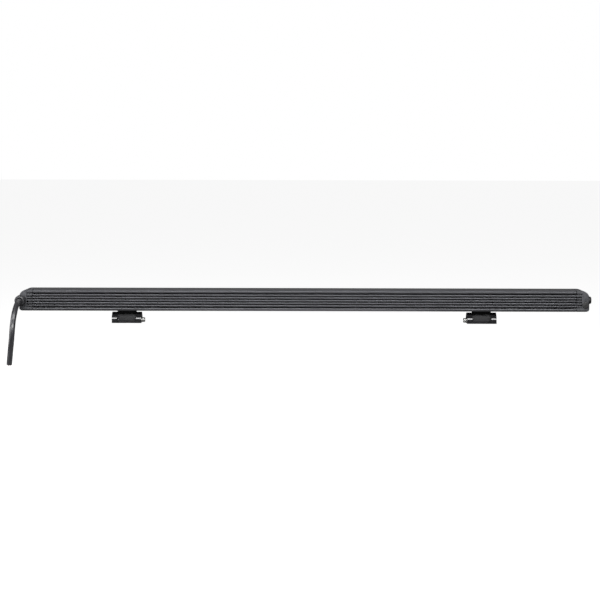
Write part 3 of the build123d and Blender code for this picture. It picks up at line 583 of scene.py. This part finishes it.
@dataclass(frozen=True)
class Screw:
    """Screw with a rounded head and a key socket, in millimetres."""

    shank_radius: float
    shank_length: float
    head_radius: float
    head_height: float
    corner: float
    socket_radius: float
    socket_depth: float
    socket: Outline = Outline.HEX
    side: Outline = Outline.ROUND

    def mesh(self, name: str) -> bpy.types.Mesh:
        """Closed mesh with the head's seat at the origin and the head upwards."""
        tip = self.shank_length
        rings = [
            Ring(self.shank_radius * 0.8, -tip),
            Ring(self.shank_radius, -tip + self.shank_radius * 0.3),
            Ring(self.shank_radius, 0.0),
            Ring(self.head_radius - 0.12, 0.0),
            Ring(self.head_radius, 0.12, self.side),
            Ring(self.head_radius, self.head_height - self.corner, self.side),
            *rounded(self.head_radius, self.head_height, self.corner, rising=True)[1:],
            Ring(self.socket_radius + 0.15, self.head_height, self.socket),
            Ring(self.socket_radius, self.head_height - 0.15, self.socket),
            Ring(self.socket_radius, self.head_height - self.socket_depth, self.socket),
        ]
        return turned(name, rings)


# ------------------------------------------------------------------ geometry nodes
class NodeTree(Wiring):
    """A Geometry Nodes tree with named inputs, ending in realised geometry and one material."""

    def __init__(self, name: str) -> None:
        """Start a tree with a geometry input, a material input and a geometry output."""
        self.tree = bpy.data.node_groups.new(name, "GeometryNodeTree")
        self.tree.interface.new_socket("Geometry", in_out="OUTPUT", socket_type="NodeSocketGeometry")
        self.named("Geometry", "NodeSocketGeometry")
        self.named("Material", "NodeSocketMaterial")
        self.inputs = self.tree.nodes.new("NodeGroupInput")

    def named(self, name: str, kind: str) -> None:
        """Add a named input."""
        self.tree.interface.new_socket(name, in_out="INPUT", socket_type=kind)

    def given(self, name: str) -> bpy.types.NodeSocket:
        """Output socket of a named input."""
        return self.inputs.outputs[name]

    def close(self, geometry: bpy.types.NodeSocket) -> bpy.types.NodeTree:
        """End the tree in Realize Instances and Set Material."""
        real = self.add("GeometryNodeRealizeInstances")
        painted = self.add("GeometryNodeSetMaterial")
        output = self.add("NodeGroupOutput")
        self.link(geometry, real.inputs["Geometry"])
        self.link(real.outputs["Geometry"], painted.inputs["Geometry"])
        self.link(self.given("Material"), painted.inputs["Material"])
        self.link(painted.outputs["Geometry"], output.inputs["Geometry"])
        return self.tree


def copies_tree() -> bpy.types.NodeTree:
    """Tree that sets a copy of a part on every point, each turned at random about its own axis."""
    tree = NodeTree("part_on_points")
    tree.named("Part", "NodeSocketObject")
    tree.named("Stand", "NodeSocketVector")
    tree.named("Size", "NodeSocketFloat")
    tree.named("Loose turn", "NodeSocketFloat")
    tree.named("Seed", "NodeSocketInt")
    part = tree.add("GeometryNodeObjectInfo")
    part.inputs["As Instance"].default_value = True
    tree.link(tree.given("Part"), part.inputs["Object"])
    turn = tree.add("FunctionNodeRandomValue", data_type="FLOAT")
    tree.link(tree.given("Loose turn"), turn.inputs[RANDOM_FLOAT_MAX])
    tree.link(tree.given("Seed"), turn.inputs["Seed"])
    own_turn = tree.add("ShaderNodeCombineXYZ")
    tree.link(turn.outputs[RANDOM_FLOAT], own_turn.inputs["Z"])
    placed = tree.add("GeometryNodeInstanceOnPoints")
    tree.link(tree.given("Geometry"), placed.inputs["Points"])
    tree.link(part.outputs["Geometry"], placed.inputs["Instance"])
    tree.link(tree.given("Stand"), placed.inputs["Rotation"])
    tree.link(tree.given("Size"), placed.inputs["Scale"])
    spun = tree.add("GeometryNodeRotateInstances")
    tree.link(placed.outputs["Instances"], spun.inputs["Instances"])
    tree.link(own_turn.outputs["Vector"], spun.inputs["Rotation"])
    return tree.close(spun.outputs["Instances"])


def section_tree() -> bpy.types.NodeTree:
    """Tree that rounds the corners of a flat outline and draws it out into a bar along X."""
    tree = NodeTree("drawn_section")
    tree.named("Length", "NodeSocketFloat")
    tree.named("Start", "NodeSocketFloat")
    tree.named("Corner", "NodeSocketFloat")
    tree.named("Corner steps", "NodeSocketInt")
    corners = tree.add("GeometryNodeFilletCurve", mode="POLY")
    corners.inputs["Limit Radius"].default_value = True
    tree.link(tree.given("Geometry"), corners.inputs["Curve"])
    tree.link(tree.given("Corner"), corners.inputs["Radius"])
    tree.link(tree.given("Corner steps"), corners.inputs["Count"])
    face = tree.add("GeometryNodeFillCurve", mode="TRIANGLES")
    tree.link(corners.outputs["Curve"], face.inputs["Curve"])
    reach = tree.add("ShaderNodeCombineXYZ")
    tree.link(tree.given("Length"), reach.inputs["Z"])
    drawn = tree.add("GeometryNodeExtrudeMesh", mode="FACES")
    drawn.inputs["Individual"].default_value = False
    tree.link(face.outputs["Mesh"], drawn.inputs["Mesh"])
    tree.link(reach.outputs["Vector"], drawn.inputs["Offset"])
    back = tree.add("GeometryNodeFlipFaces")
    tree.link(face.outputs["Mesh"], back.inputs["Mesh"])
    both = tree.add("GeometryNodeJoinGeometry")
    tree.link(drawn.outputs["Mesh"], both.inputs["Geometry"])
    tree.link(back.outputs["Mesh"], both.inputs["Geometry"])
    whole = tree.add("GeometryNodeMergeByDistance")
    whole.inputs["Distance"].default_value = 0.001 * MM
    tree.link(both.outputs["Geometry"], whole.inputs["Geometry"])
    shift = tree.add("ShaderNodeCombineXYZ")
    tree.link(tree.given("Start"), shift.inputs["X"])
    laid = tree.add("GeometryNodeTransform")
    laid.inputs["Rotation"].default_value = (math.pi / 2, 0, math.pi / 2)
    tree.link(whole.outputs["Geometry"], laid.inputs["Geometry"])
    tree.link(shift.outputs["Vector"], laid.inputs["Translation"])
    return tree.close(laid.outputs["Geometry"])


def run_tree(
    carrier: bpy.types.ID, tree: bpy.types.NodeTree, name: str, values: dict[str, object]
) -> bpy.types.Object:
    """Run a tree on some data and keep the result as a plain mesh.

    Args:
        carrier: curve or mesh data that the tree starts from.
        tree: the node tree.
        name: name of the resulting object.
        values: value of each named input.

    Returns:
        The object.
    """
    maker = new_object(name + "_maker", carrier)
    modifier = maker.modifiers.new(tree.name, "NODES")
    modifier.node_group = tree
    for item in tree.interface.items_tree:
        if item.in_out == "INPUT" and item.name in values:
            modifier[item.identifier] = values[item.name]
    return baked(maker, name)


class Workshop:
    """The node trees and the paint that every sub-assembly uses."""

    def __init__(self) -> None:
        """Build the trees and the materials."""
        self.paint = Paintbox()
        self.copies = copies_tree()
        self.section = section_tree()

    def set_out(
        self, name: str, mesh: bpy.types.Mesh, places: Sequence[Vector], stand: Point, placed: Placed,
        seed: int = 3,
    ) -> bpy.types.Object:
        """Set a copy of a mesh on each place, each one turned about its axis at random.

        Args:
            name: name of the piece.
            mesh: the part, standing on the origin with its axis along +Z.
            places: where its origin goes.
            stand: Euler turn that lays +Z along the part's axis.
            placed: what the piece rides on, its paint and what it stands for.
            seed: seed of the random turns.

        Returns:
            One piece that holds all the copies.
        """
        points = bpy.data.meshes.new(name + "_places")
        points.from_pydata([tuple(place) for place in places], [], [])
        part = new_object(name + "_part", mesh)
        piece = run_tree(points, self.copies, name, {
            "Material": self.paint.of(placed.slot), "Part": part, "Stand": stand, "Size": 1.0,
            "Loose turn": 2 * math.pi, "Seed": seed,
        })
        bpy.data.objects.remove(part)
        shade(piece.data)
        return settle(piece, placed, self.paint)

    def drawn(
        self, name: str, loops: Sequence[Sequence[tuple[float, float]]], start: float, length: float,
        corner: float, placed: Placed,
    ) -> bpy.types.Object:
        """Draw a flat section, given as loops of (Y, Z), out along X with rounded corners."""
        outline = bpy.data.curves.new(name + "_section", "CURVE")
        outline.dimensions = "2D"
        for loop in loops:
            spline = outline.splines.new("POLY")
            spline.points.add(len(loop) - 1)
            for point, (across, up) in zip(spline.points, loop):
                point.co = (across, up, 0, 1)
            spline.use_cyclic_u = True
        piece = run_tree(outline, self.section, name, {
            "Material": self.paint.of(placed.slot), "Length": length, "Start": start, "Corner": corner,
            "Corner steps": 3,
        })
        shade(piece.data)
        return settle(piece, placed, self.paint)


TOWARDS_FRONT: Point = (-math.pi / 2, 0, 0)         # +Z laid along +Y


# ------------------------------------------------------------------ housing
@dataclass
class Housing:
    """Drawn aluminium body: five fins and two gutters at the rear, a T-slot below."""

    shop: Workshop
    chamfer: float = 2.4 * MM
    lip: float = 3.0 * MM
    gutter_width: float = 3.0 * MM
    gutter_depth: float = 9.0 * MM
    fins: int = 5
    fin_thickness: float = 2.6 * MM
    fin_depth: float = 6.0 * MM
    room_wall: float = 5.5 * MM
    lens_ledge: float = 1.7 * MM
    lens_seat: float = 3.6 * MM         # lens and gasket behind the front face
    heat_face: float = 15.4 * MM        # LED boards' seat behind the front face
    bezel_depth: float = 1.6 * MM       # bezel in front of the housing
    heat_wall: float = 3.0 * MM
    rear_wall: float = 3.0 * MM
    top_wall: float = 2.8 * MM
    mouth: float = 8.4 * MM
    slot_width: float = 12.4 * MM
    slot_lip: float = 3.0 * MM
    slot_height: float = 6.0 * MM
    slot_roof: float = 2.5 * MM
    corner: float = 0.4 * MM

    def rear(self, back: float, low: float, high: float) -> list[tuple[float, float]]:
        """Rear face from the lower chamfer up to the upper one, as (Y, Z)."""
        points = [(back + self.chamfer, low), (back, low + self.chamfer)]
        up = low + self.chamfer + self.lip
        last = high - self.chamfer - self.lip
        zone = last - up - 2 * self.gutter_width
        groove = (zone - self.fins * self.fin_thickness) / (self.fins - 1)
        points += self.notch(back, up, self.gutter_width, self.gutter_depth)
        up += self.gutter_width
        for i in range(self.fins):
            up += self.fin_thickness
            if i < self.fins - 1:
                points += self.notch(back, up, groove, self.fin_depth)
                up += groove
        points += self.notch(back, up, self.gutter_width, self.gutter_depth)
        return points + [(back, high - self.chamfer), (back + self.chamfer, high)]

    @staticmethod
    def notch(back: float, low: float, width: float, depth: float) -> list[tuple[float, float]]:
        """Four corners of a groove cut into the rear face."""
        return [(back, low), (back + depth, low), (back + depth, low + width), (back, low + width)]

    def front(self, face: float, low: float, high: float) -> list[tuple[float, float]]:
        """Front face from the top down, with the lens ledge and the optics room."""
        seat, heat = face - self.lens_seat + self.bezel_depth, face - self.heat_face + self.bezel_depth
        room_low, room_high = low + self.room_wall, high - self.room_wall
        upper = [(face, high), (face, room_high + self.lens_ledge), (seat, room_high + self.lens_ledge)]
        lower = [(seat, room_low - self.lens_ledge), (face, room_low - self.lens_ledge), (face, low)]
        room = [(seat, room_high), (heat, room_high), (heat, room_low), (seat, room_low)]
        return upper + room + lower

    def slot(self, low: float) -> list[tuple[float, float]]:
        """T-slot in the underside, from the front edge of its mouth to the rear one."""
        half, wide = self.mouth / 2, self.slot_width / 2
        lip, top = low + self.slot_lip, low + self.slot_lip + self.slot_height
        front_side = [(half, low), (half, lip), (wide, lip), (wide, top)]
        return front_side + [(-y, z) for y, z in reversed(front_side)]

    def build(self) -> None:
        """Draw the section out to the length of the CAD housing."""
        low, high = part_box("housing")
        outer = self.rear(low.y, low.z, high.z) + self.front(high.y, low.z, high.z) + self.slot(low.z)
        wall = low.y + self.gutter_depth + self.rear_wall
        heat_back = high.y - self.heat_face + self.bezel_depth - self.heat_wall
        slot_top = low.z + self.slot_lip + self.slot_height
        floor, ceiling = slot_top + self.slot_roof, high.z - self.top_wall
        room = [(wall, floor), (heat_back, floor), (heat_back, ceiling), (wall, ceiling)]
        chamber_front, chamber_floor = -self.slot_width / 2 - self.slot_roof, low.z + self.slot_lip
        chamber = [(wall, chamber_floor), (chamber_front, chamber_floor), (chamber_front, slot_top),
                   (wall, slot_top)]
        self.shop.drawn("finned_housing", [outer, room, chamber], low.x, high.x - low.x, self.corner,
                        Placed(LAMP, Slot.ANODISED, ("housing",)))


# ------------------------------------------------------------------ front
@dataclass
class Front:
    """Bezel strips, lens and the screws that hold them and the LED modules."""

    shop: Workshop
    edge: float = 0.3 * MM
    bezel_screw: Screw = Screw(1.25, 9.5, 1.8, 1.0, 0.45, 0.85, 0.6, Outline.STAR)
    module_screw: Screw = Screw(1.5, 10.6, 2.75, 2.0, 0.7, 1.3, 1.2)

    def build(self) -> None:
        """Round the bezel's and the lens's edges, and set out the screws."""
        paint = self.shop.paint
        strips = [
            part["node"] for part in frame["record"]["subparts"] if part["material_slot"] == Slot.BEZEL.value
        ]
        for node, slot in [(strip, Slot.BEZEL) for strip in strips] + [("lens", Slot.LENS)]:
            settle(softened(node, "rounded_" + node, self.edge), Placed(LAMP, slot, (node,)), paint)
        for node, screw, slot in (
            ("bezel_screws", self.bezel_screw, Slot.SCREW), ("module_screws", self.module_screw, Slot.STEEL),
        ):
            places = [
                Vector(((low.x + high.x) / 2, high.y - screw.head_height * MM, (low.z + high.z) / 2))
                for low, high in solids(node)
            ]
            self.shop.set_out("set_" + node, screw.mesh(node), places, TOWARDS_FRONT,
                              Placed(LAMP, slot, (node,)))


# ------------------------------------------------------------------ end caps
@dataclass
class EndCap:
    """Cast cap at one end of the bar, with its screws, side bolt and washer."""

    shop: Workshop
    side: str
    cap_screw: Screw = Screw(1.75, 27.5, 3.3, 2.6, 0.8, 1.6, 1.4)
    side_bolt: Screw = Screw(4.0, 12.6, 7.0, 6.4, 2.6, 2.9, 3.6)
    washer_radius: float = 8.0
    washer_thickness: float = 1.6
    washer_bore: float = 4.3

    def build(self) -> None:
        """Dress the cap and set its fasteners."""
        out = Vector((-1 if self.side == "left" else 1, 0, 0))
        stand_out: Point = (0, math.copysign(math.pi / 2, out.x), 0)
        cap = f"{self.side}_end_cap"
        settle(softened(cap, f"cast_{cap}", 0.5 * MM), Placed(LAMP, Slot.CAST, (cap,)), self.shop.paint)
        node = f"{self.side}_cap_screws"
        places = []
        for low, high in solids(node):
            face = high.x if out.x > 0 else low.x
            seat = face - out.x * self.cap_screw.head_height * MM
            places.append(Vector((seat, (low.y + high.y) / 2, (low.z + high.z) / 2)))
        self.shop.set_out(f"set_{node}", cut_to(self.cap_screw, node).mesh(node), places, stand_out,
                          Placed(LAMP, Slot.SCREW, (node,)), seed=5)
        self.fit_side_bolt(out)

    def fit_side_bolt(self, out: Vector) -> None:
        """Side bolt and its washer, on the washer's own seat."""
        seat = seat_of(f"{self.side}_side_washer", out)
        bolt_seat = seat + out * self.washer_thickness * MM
        paint = self.shop.paint
        bolt = stand(self.side_bolt.mesh(f"{self.side}_bolt"), bolt_seat, out)
        settle(new_object(f"{self.side}_domed_bolt", bolt),
               Placed(LAMP, Slot.SCREW, (f"{self.side}_side_bolt",)), paint)
        washer = stand(washer_mesh(self.washer_radius, self.washer_bore, self.washer_thickness), seat, out)
        settle(new_object(f"{self.side}_bolt_washer", washer),
               Placed(LAMP, Slot.SCREW, (f"{self.side}_side_washer",)), paint)


def washer_mesh(radius: float, bore: float, thickness: float, corner: float = 0.25) -> bpy.types.Mesh:
    """Flat washer with rounded edges, lying on the origin; sizes in millimetres."""
    rings = [
        Ring(bore, corner), Ring(bore + corner, 0.0),
        *rounded(radius, 0.0, corner, rising=False, steps=3),
        *rounded(radius, thickness, corner, rising=True, steps=3),
        Ring(bore + corner, thickness), Ring(bore, thickness - corner),
    ]
    return turned("washer", rings, hollow=True)


# ------------------------------------------------------------------ gland and vent
@dataclass
class Gland:
    """Cable gland: a hexagon flange, a domed nut with grip flutes, and its seal."""

    shop: Workshop
    nut_radius: float = 9.4
    nut_length: float = 17.0
    nut_bore: float = 6.65
    mouth_radius: float = 5.35
    mouth_lip: float = 2.0
    dome: float = 3.2

    def build(self) -> None:
        """Dress the flange, and turn the nut."""
        paint = self.shop.paint
        settle(softened("gland_body", "gland_flange", 0.4 * MM),
               Placed(LAMP, Slot.NYLON, ("gland_body",)), paint)
        low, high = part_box("gland_nut")
        seat = Vector(((low.x + high.x) / 2, high.y, (low.z + high.z) / 2))
        top = self.nut_length
        grip_end = top - self.dome - 2.2
        rings = [
            Ring(self.nut_bore + 0.3, 0.0),
            *rounded(self.nut_radius, 0.0, 0.5, rising=False, steps=3),
            Ring(self.nut_radius, 1.4),
            Ring(self.nut_radius, 2.0, Outline.GRIP),
            Ring(self.nut_radius, grip_end, Outline.GRIP),
            Ring(self.nut_radius, grip_end + 1.0),
            *rounded(self.nut_radius, top, self.dome, rising=True, steps=8),
            Ring(self.mouth_radius + 0.3, top),
            Ring(self.mouth_radius, top - 0.3),
            Ring(self.mouth_radius, top - self.mouth_lip),
            Ring(self.nut_bore, top - self.mouth_lip),
            Ring(self.nut_bore, 0.3),
        ]
        nut = stand(turned("nut", rings, hollow=True), seat, Vector((0, -1, 0)))
        settle(new_object("domed_gland_nut", nut), Placed(LAMP, Slot.NYLON, ("gland_nut",)), paint)


@dataclass
class Vent:
    """Breather plug: a notched button on a soft seal, with a dished middle."""

    shop: Workshop
    radius: float = 6.1
    height: float = 2.4
    stem_radius: float = 3.9
    stem_length: float = 5.8
    hole_radius: float = 1.4

    def build(self) -> None:
        """Turn the button on its own axis."""
        low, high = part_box("vent_plug")
        seat = Vector(((low.x + high.x) / 2, low.y + self.height * MM, (low.z + high.z) / 2))
        top = self.height
        rings = [
            Ring(self.stem_radius, -self.stem_length),
            Ring(self.stem_radius, 0.0),
            *rounded(self.radius, 0.0, 0.3, rising=False, steps=3),
            Ring(self.radius, 0.7, Outline.GRIP),
            Ring(self.radius, top - 1.2, Outline.GRIP),
            *rounded(self.radius, top, 1.2, rising=True, steps=5)[1:],
            Ring(3.4, top),
            Ring(3.1, top - 0.5),
            Ring(1.9, top - 0.5),
            Ring(self.hole_radius, top - 0.2),
            Ring(self.hole_radius * 0.9, top - 1.0),
        ]
        plug = stand(turned("vent", rings), seat, Vector((0, -1, 0)))
        settle(new_object("breather_plug", plug), Placed(LAMP, Slot.VENT, ("vent_plug",)), self.shop.paint)


# ------------------------------------------------------------------ cable
@dataclass
class Cable:
    """Three-core cable that leaves the gland and hangs down to a cut end."""

    shop: Workshop
    route: tuple[Point, ...] = (
        (-0.5234, -0.0360, 0.0440),
        (-0.5234, -0.0654, 0.0440),
        (-0.5248, -0.0918, 0.0289),
        (-0.5263, -0.1068, 0.0020),
        (-0.5288, -0.1084, -0.0328),
        (-0.5330, -0.1062, -0.0673),
    )
    mouth: Point = (-0.5234, -0.0510, 0.0440)
    radius: float = 5.0 * MM
    length: float = 0.159
    lobes: int = 3
    lobe_depth: float = 0.22 * MM
    lay: float = 0.16                   # length of one turn of the cores
    steps: int = 48
    core_radius: float = 1.55
    core_ring: float = 2.3 * MM
    core_reach: float = 1.2

    def centreline(self) -> list[Vector]:
        """Points read from the route's smooth spline."""
        curve = bpy.data.curves.new("cable_route", "CURVE")
        curve.dimensions = "3D"
        curve.resolution_u = 20
        spline = curve.splines.new("NURBS")
        spline.points.add(len(self.route) - 1)
        for point, place in zip(spline.points, self.route):
            point.co = (*place, 1.0)
        spline.order_u = 3
        spline.use_endpoint_u = True
        return [v.co.copy() for v in evaluated(new_object("cable_route", curve)).vertices]

    def build(self) -> None:
        """Sweep the jacket along the spline, with the cores showing through as shallow lobes."""
        path = self.centreline()
        mesh = bmesh.new()
        around = mesh.loops.layers.uv.new("along")
        tangent = (path[1] - path[0]).normalized()
        side = tangent.orthogonal().normalized()
        run = 0.0
        rings: list[list[bmesh.types.BMVert]] = []
        runs: list[float] = []
        for i, place in enumerate(path):
            ahead = path[min(i + 1, len(path) - 1)] - path[max(i - 1, 0)]
            turn = tangent.rotation_difference(ahead.normalized())
            side, tangent = turn @ side, ahead.normalized()
            run += (place - path[i - 1]).length if i else 0.0
            rings.append(self.ring(mesh, place, tangent, side, run))
            runs.append(run)
        for i, (low, high) in enumerate(zip(rings, rings[1:])):
            for j in range(self.steps):
                k = (j + 1) % self.steps
                face = mesh.faces.new((low[j], low[k], high[k], high[j]))
                u, v = j / self.steps, (j + 1) / self.steps
                start, end = runs[i], runs[i + 1]
                for loop, place in zip(face.loops, ((u, start), (v, start), (v, end), (u, end))):
                    loop[around].uv = place
        rim = rings[-1]
        inner = [mesh.verts.new(path[-1].lerp(v.co, 0.9) - tangent * 0.15 * MM) for v in rim]
        for j in range(self.steps):
            k = (j + 1) % self.steps
            mesh.faces.new((rim[j], rim[k], inner[k], inner[j]))
        mesh.faces.new(inner)
        mesh.faces.new(rings[0])
        bmesh.ops.recalc_face_normals(mesh, faces=mesh.faces)
        jacket = bpy.data.meshes.new("jacket")
        mesh.to_mesh(jacket)
        mesh.free()
        piece = settle(new_object("fluted_power_cable", shade(jacket, 50)),
                       Placed(LAMP, Slot.JACKET, ("power_cable",)), self.shop.paint)
        cores = self.cores(path[-1], tangent, side)

    def ring(
        self, mesh: bmesh.types.BMesh, place: Vector, tangent: Vector, side: Vector, run: float
    ) -> list[bmesh.types.BMVert]:
        """One ring of the jacket, turned on with the lay of the cores."""
        up = tangent.cross(side)
        ring = []
        for j in range(self.steps):
            angle = 2 * math.pi * j / self.steps
            wave = 0.5 - 0.5 * math.cos(self.lobes * (angle - 2 * math.pi * run / self.lay))
            radius = self.radius - self.lobe_depth * wave ** 2
            ring.append(mesh.verts.new(place + radius * (math.cos(angle) * side + math.sin(angle) * up)))
        return ring

    def cores(self, end: Vector, tangent: Vector, side: Vector) -> bpy.types.Object:
        """Insulated cores that stand a little proud of the cut end."""
        core = Screw(self.core_radius, 2.0, self.core_radius, self.core_reach, 0.25, 0.85, 0.2, Outline.STAR)
        up = tangent.cross(side)
        places = [
            end + self.core_ring * (math.cos(a) * side + math.sin(a) * up)
            for a in (2 * math.pi * i / self.lobes for i in range(self.lobes))
        ]
        stand_on = UP.rotation_difference(tangent).to_euler()
        return self.shop.set_out("cable_core_ends", core.mesh("core"), places, tuple(stand_on),
                                 Placed(LAMP, Slot.COPPER, ("cable_cores",)), seed=7)


# ------------------------------------------------------------------ feet
@dataclass
class Foot:
    """Forked foot, its pivot bolt and washer, and the knuckle that tilts in it."""

    shop: Workshop
    side: str
    bolt: Screw = Screw(2.5, 55.0, 4.25, 5.0, 0.5, 2.3, 2.5, side=Outline.KNURL)
    washer_radius: float = 5.0
    washer_bore: float = 2.7
    washer_thickness: float = 1.0

    def build(self) -> None:
        """Round the cast pieces and turn the fasteners."""
        paint, side = self.shop.paint, self.side
        foot_set, knuckle_set = f"{side}_foot_set", f"{side}_knuckle_set"
        settle(softened(f"{side}_foot", f"{side}_forked_foot", 0.9 * MM, 4),
               Placed(foot_set, Slot.GLOSS, (f"{side}_foot",)), paint)
        settle(softened(f"{side}_knuckle", f"{side}_cast_knuckle", 0.5 * MM),
               Placed(knuckle_set, Slot.MATTE, (f"{side}_knuckle",)), paint)
        settle(softened(f"{side}_slider", f"{side}_slot_slider", 0.4 * MM),
               Placed(knuckle_set, Slot.STEEL, (f"{side}_slider",)), paint)
        inward = Vector((1 if side == "left" else -1, 0, 0))
        seat = seat_of(f"{side}_pivot_washer", inward)
        washer = washer_mesh(self.washer_radius, self.washer_bore, self.washer_thickness, 0.15)
        settle(new_object(f"{side}_plain_washer", stand(washer, seat, inward)),
               Placed(foot_set, Slot.STEEL, (f"{side}_pivot_washer",)), paint)
        screw = cut_to(self.bolt, f"{side}_pivot_bolt")
        bolt = stand(screw.mesh(f"{side}_pivot"), seat + inward * self.washer_thickness * MM, inward)
        settle(new_object(f"{side}_knurled_bolt", bolt),
               Placed(foot_set, Slot.STEEL, (f"{side}_pivot_bolt",)), paint)


# ------------------------------------------------------------------ stage
@dataclass(frozen=True)
class Softbox:
    """Soft rectangular light: where it stands as seen from the bar's rear, its size and its power.

    The azimuth runs from straight behind the bar towards its right end, in degrees, as the
    elevation does above the bar; sizes are in metres.
    """

    name: str
    azimuth: float
    elevation: float
    distance: float
    width: float
    height: float
    power: float


@dataclass(frozen=True)
class Tone:
    """Brightness of the surroundings at a height: -1 straight below, 0 level, 1 overhead."""

    height: float
    level: float


@dataclass
class Studio:
    """Pale floor, white backdrop, surroundings that darken overhead, soft light and the camera."""

    floor_drop: float = 0.30
    floor_size: float = 400.0
    floor_glow: float = 0.90
    distance: float = 2.871
    elevation: float = 4.6
    aim: Point = (-0.0079, -0.029, 0.0450)
    lens: float = 93.1
    roll: float = 0.14
    tones: tuple[Tone, ...] = (
        Tone(-1.0, 0.10), Tone(-0.3, 0.05), Tone(-0.05, 0.03), Tone(0.08, 0.08), Tone(0.3, 0.06),
        Tone(0.75, 0.03), Tone(1.0, 0.02),
    )
    lights: tuple[Softbox, ...] = (
        Softbox("front_light", 0.0, 24.0, 2.6, 3.4, 0.5, 80.0),
        Softbox("key_strip", 0.0, 56.0, 2.4, 3.4, 0.8, 60.0),
        Softbox("side_strip", -78.0, 14.0, 1.9, 0.5, 1.2, 14.0),
        Softbox("under_card", 0.0, -78.0, 0.28, 0.55, 0.2, 0.5),
        Softbox("beam_side_fill", 180.0, 35.0, 2.8, 3.0, 1.2, 6.0),
    )

    def build(self) -> None:
        """Set the stage."""
        self.floor()
        self.surroundings()
        for light in self.lights:
            self.softbox(light)
        self.camera()

    def floor(self) -> None:
        """Large pale floor well below the object."""
        level = CAD_BOUNDS[0].z - self.floor_drop
        half = self.floor_size / 2
        mesh = bpy.data.meshes.new("floor")
        corners = [(-half, -half, level), (half, -half, level), (half, half, level), (-half, half, level)]
        mesh.from_pydata(corners, [], [(0, 1, 2, 3)])
        sheet = NodeSheet("pale_floor")
        sheet.surface.inputs["Base Color"].default_value = (0.93, 0.93, 0.93, 1.0)
        sheet.surface.inputs["Emission Color"].default_value = (1.0, 1.0, 1.0, 1.0)
        sheet.surface.inputs["Emission Strength"].default_value = self.floor_glow
        sheet.surface.inputs["Roughness"].default_value = 0.9
        sheet.surface.inputs["Specular IOR Level"].default_value = 0.1
        mesh.materials.append(sheet.material)
        floor = new_object("floor", mesh)
        floor.visible_glossy = False
        floor.visible_diffuse = False

    def surroundings(self) -> None:
        """White backdrop, and darker surroundings that light the object and show in its gloss."""
        world = bpy.data.worlds.new("studio")
        bpy.context.scene.world = world
        world.use_nodes = True
        tree = world.node_tree
        nodes = {
            name: tree.nodes.new(kind) for name, kind in (
                ("place", "ShaderNodeTexCoord"), ("split", "ShaderNodeSeparateXYZ"),
                ("height", "ShaderNodeMapRange"), ("ramp", "ShaderNodeValToRGB"),
                ("path", "ShaderNodeLightPath"), ("mix", "ShaderNodeMix"),
            )
        }
        nodes["height"].inputs["From Min"].default_value = -1.0
        nodes["mix"].data_type = "RGBA"
        nodes["mix"].inputs[MIX_SECOND].default_value = (1.0, 1.0, 1.0, 1.0)
        stops = nodes["ramp"].color_ramp.elements
        while len(stops) < len(self.tones):
            stops.new(1.0)
        for stop, tone in zip(stops, self.tones):
            stop.position = (tone.height + 1) / 2
            stop.color = (tone.level, tone.level, tone.level, 1.0)
        tree.links.new(nodes["place"].outputs["Generated"], nodes["split"].inputs["Vector"])
        tree.links.new(nodes["split"].outputs["Z"], nodes["height"].inputs["Value"])
        tree.links.new(nodes["height"].outputs["Result"], nodes["ramp"].inputs["Fac"])
        tree.links.new(nodes["ramp"].outputs["Color"], nodes["mix"].inputs[MIX_FIRST])
        tree.links.new(nodes["path"].outputs["Is Camera Ray"], nodes["mix"].inputs[MIX_FACTOR])
        tree.links.new(nodes["mix"].outputs[MIX_RESULT], tree.nodes["Background"].inputs["Color"])

    def softbox(self, box: Softbox) -> None:
        """Hang a softbox so that it faces the bar."""
        light = bpy.data.lights.new(box.name, "AREA")
        light.shape = "RECTANGLE"
        light.size, light.size_y = box.width, box.height
        light.energy = box.power
        lamp = new_object(box.name, light)
        side, rise = math.radians(box.azimuth), math.radians(box.elevation)
        away = Vector((math.sin(side) * math.cos(rise), -math.cos(side) * math.cos(rise), math.sin(rise)))
        lamp.location = Vector(self.aim) + away * box.distance
        lamp.rotation_euler = away.to_track_quat("Z", "Y").to_euler()
        lamp.visible_camera = False

    def camera(self) -> None:
        """Camera a little above the bar, behind it."""
        data = bpy.data.cameras.new("camera")
        data.lens = self.lens
        data.clip_end = 1000.0
        camera = new_object("camera", data)
        angle = math.radians(self.elevation)
        away = Vector((0, -math.cos(angle), math.sin(angle)))
        camera.location = Vector(self.aim) + away * self.distance
        aim = (-away).to_track_quat("-Z", "Y")
        camera.rotation_mode = "QUATERNION"
        camera.rotation_quaternion = aim @ Quaternion((0, 0, 1), math.radians(self.roll))
        bpy.context.scene.camera = camera
        bpy.context.scene.view_settings.view_transform = "Standard"


def main() -> None:
    """Build every sub-assembly in order."""
    logging.basicConfig(level=logging.INFO, format="%(message)s")
    shop = Workshop()
    shop.paint.dress_frame()
    makers: list[object] = [
        Cable(shop), Housing(shop), Front(shop), EndCap(shop, "left"), EndCap(shop, "right"),
        Gland(shop), Vent(shop), Foot(shop, "left"), Foot(shop, "right"), Studio(),
    ]
    for maker in makers:
        log.info("building %s", type(maker).__name__)
        maker.build()


if __name__ == "__main__":
    main()
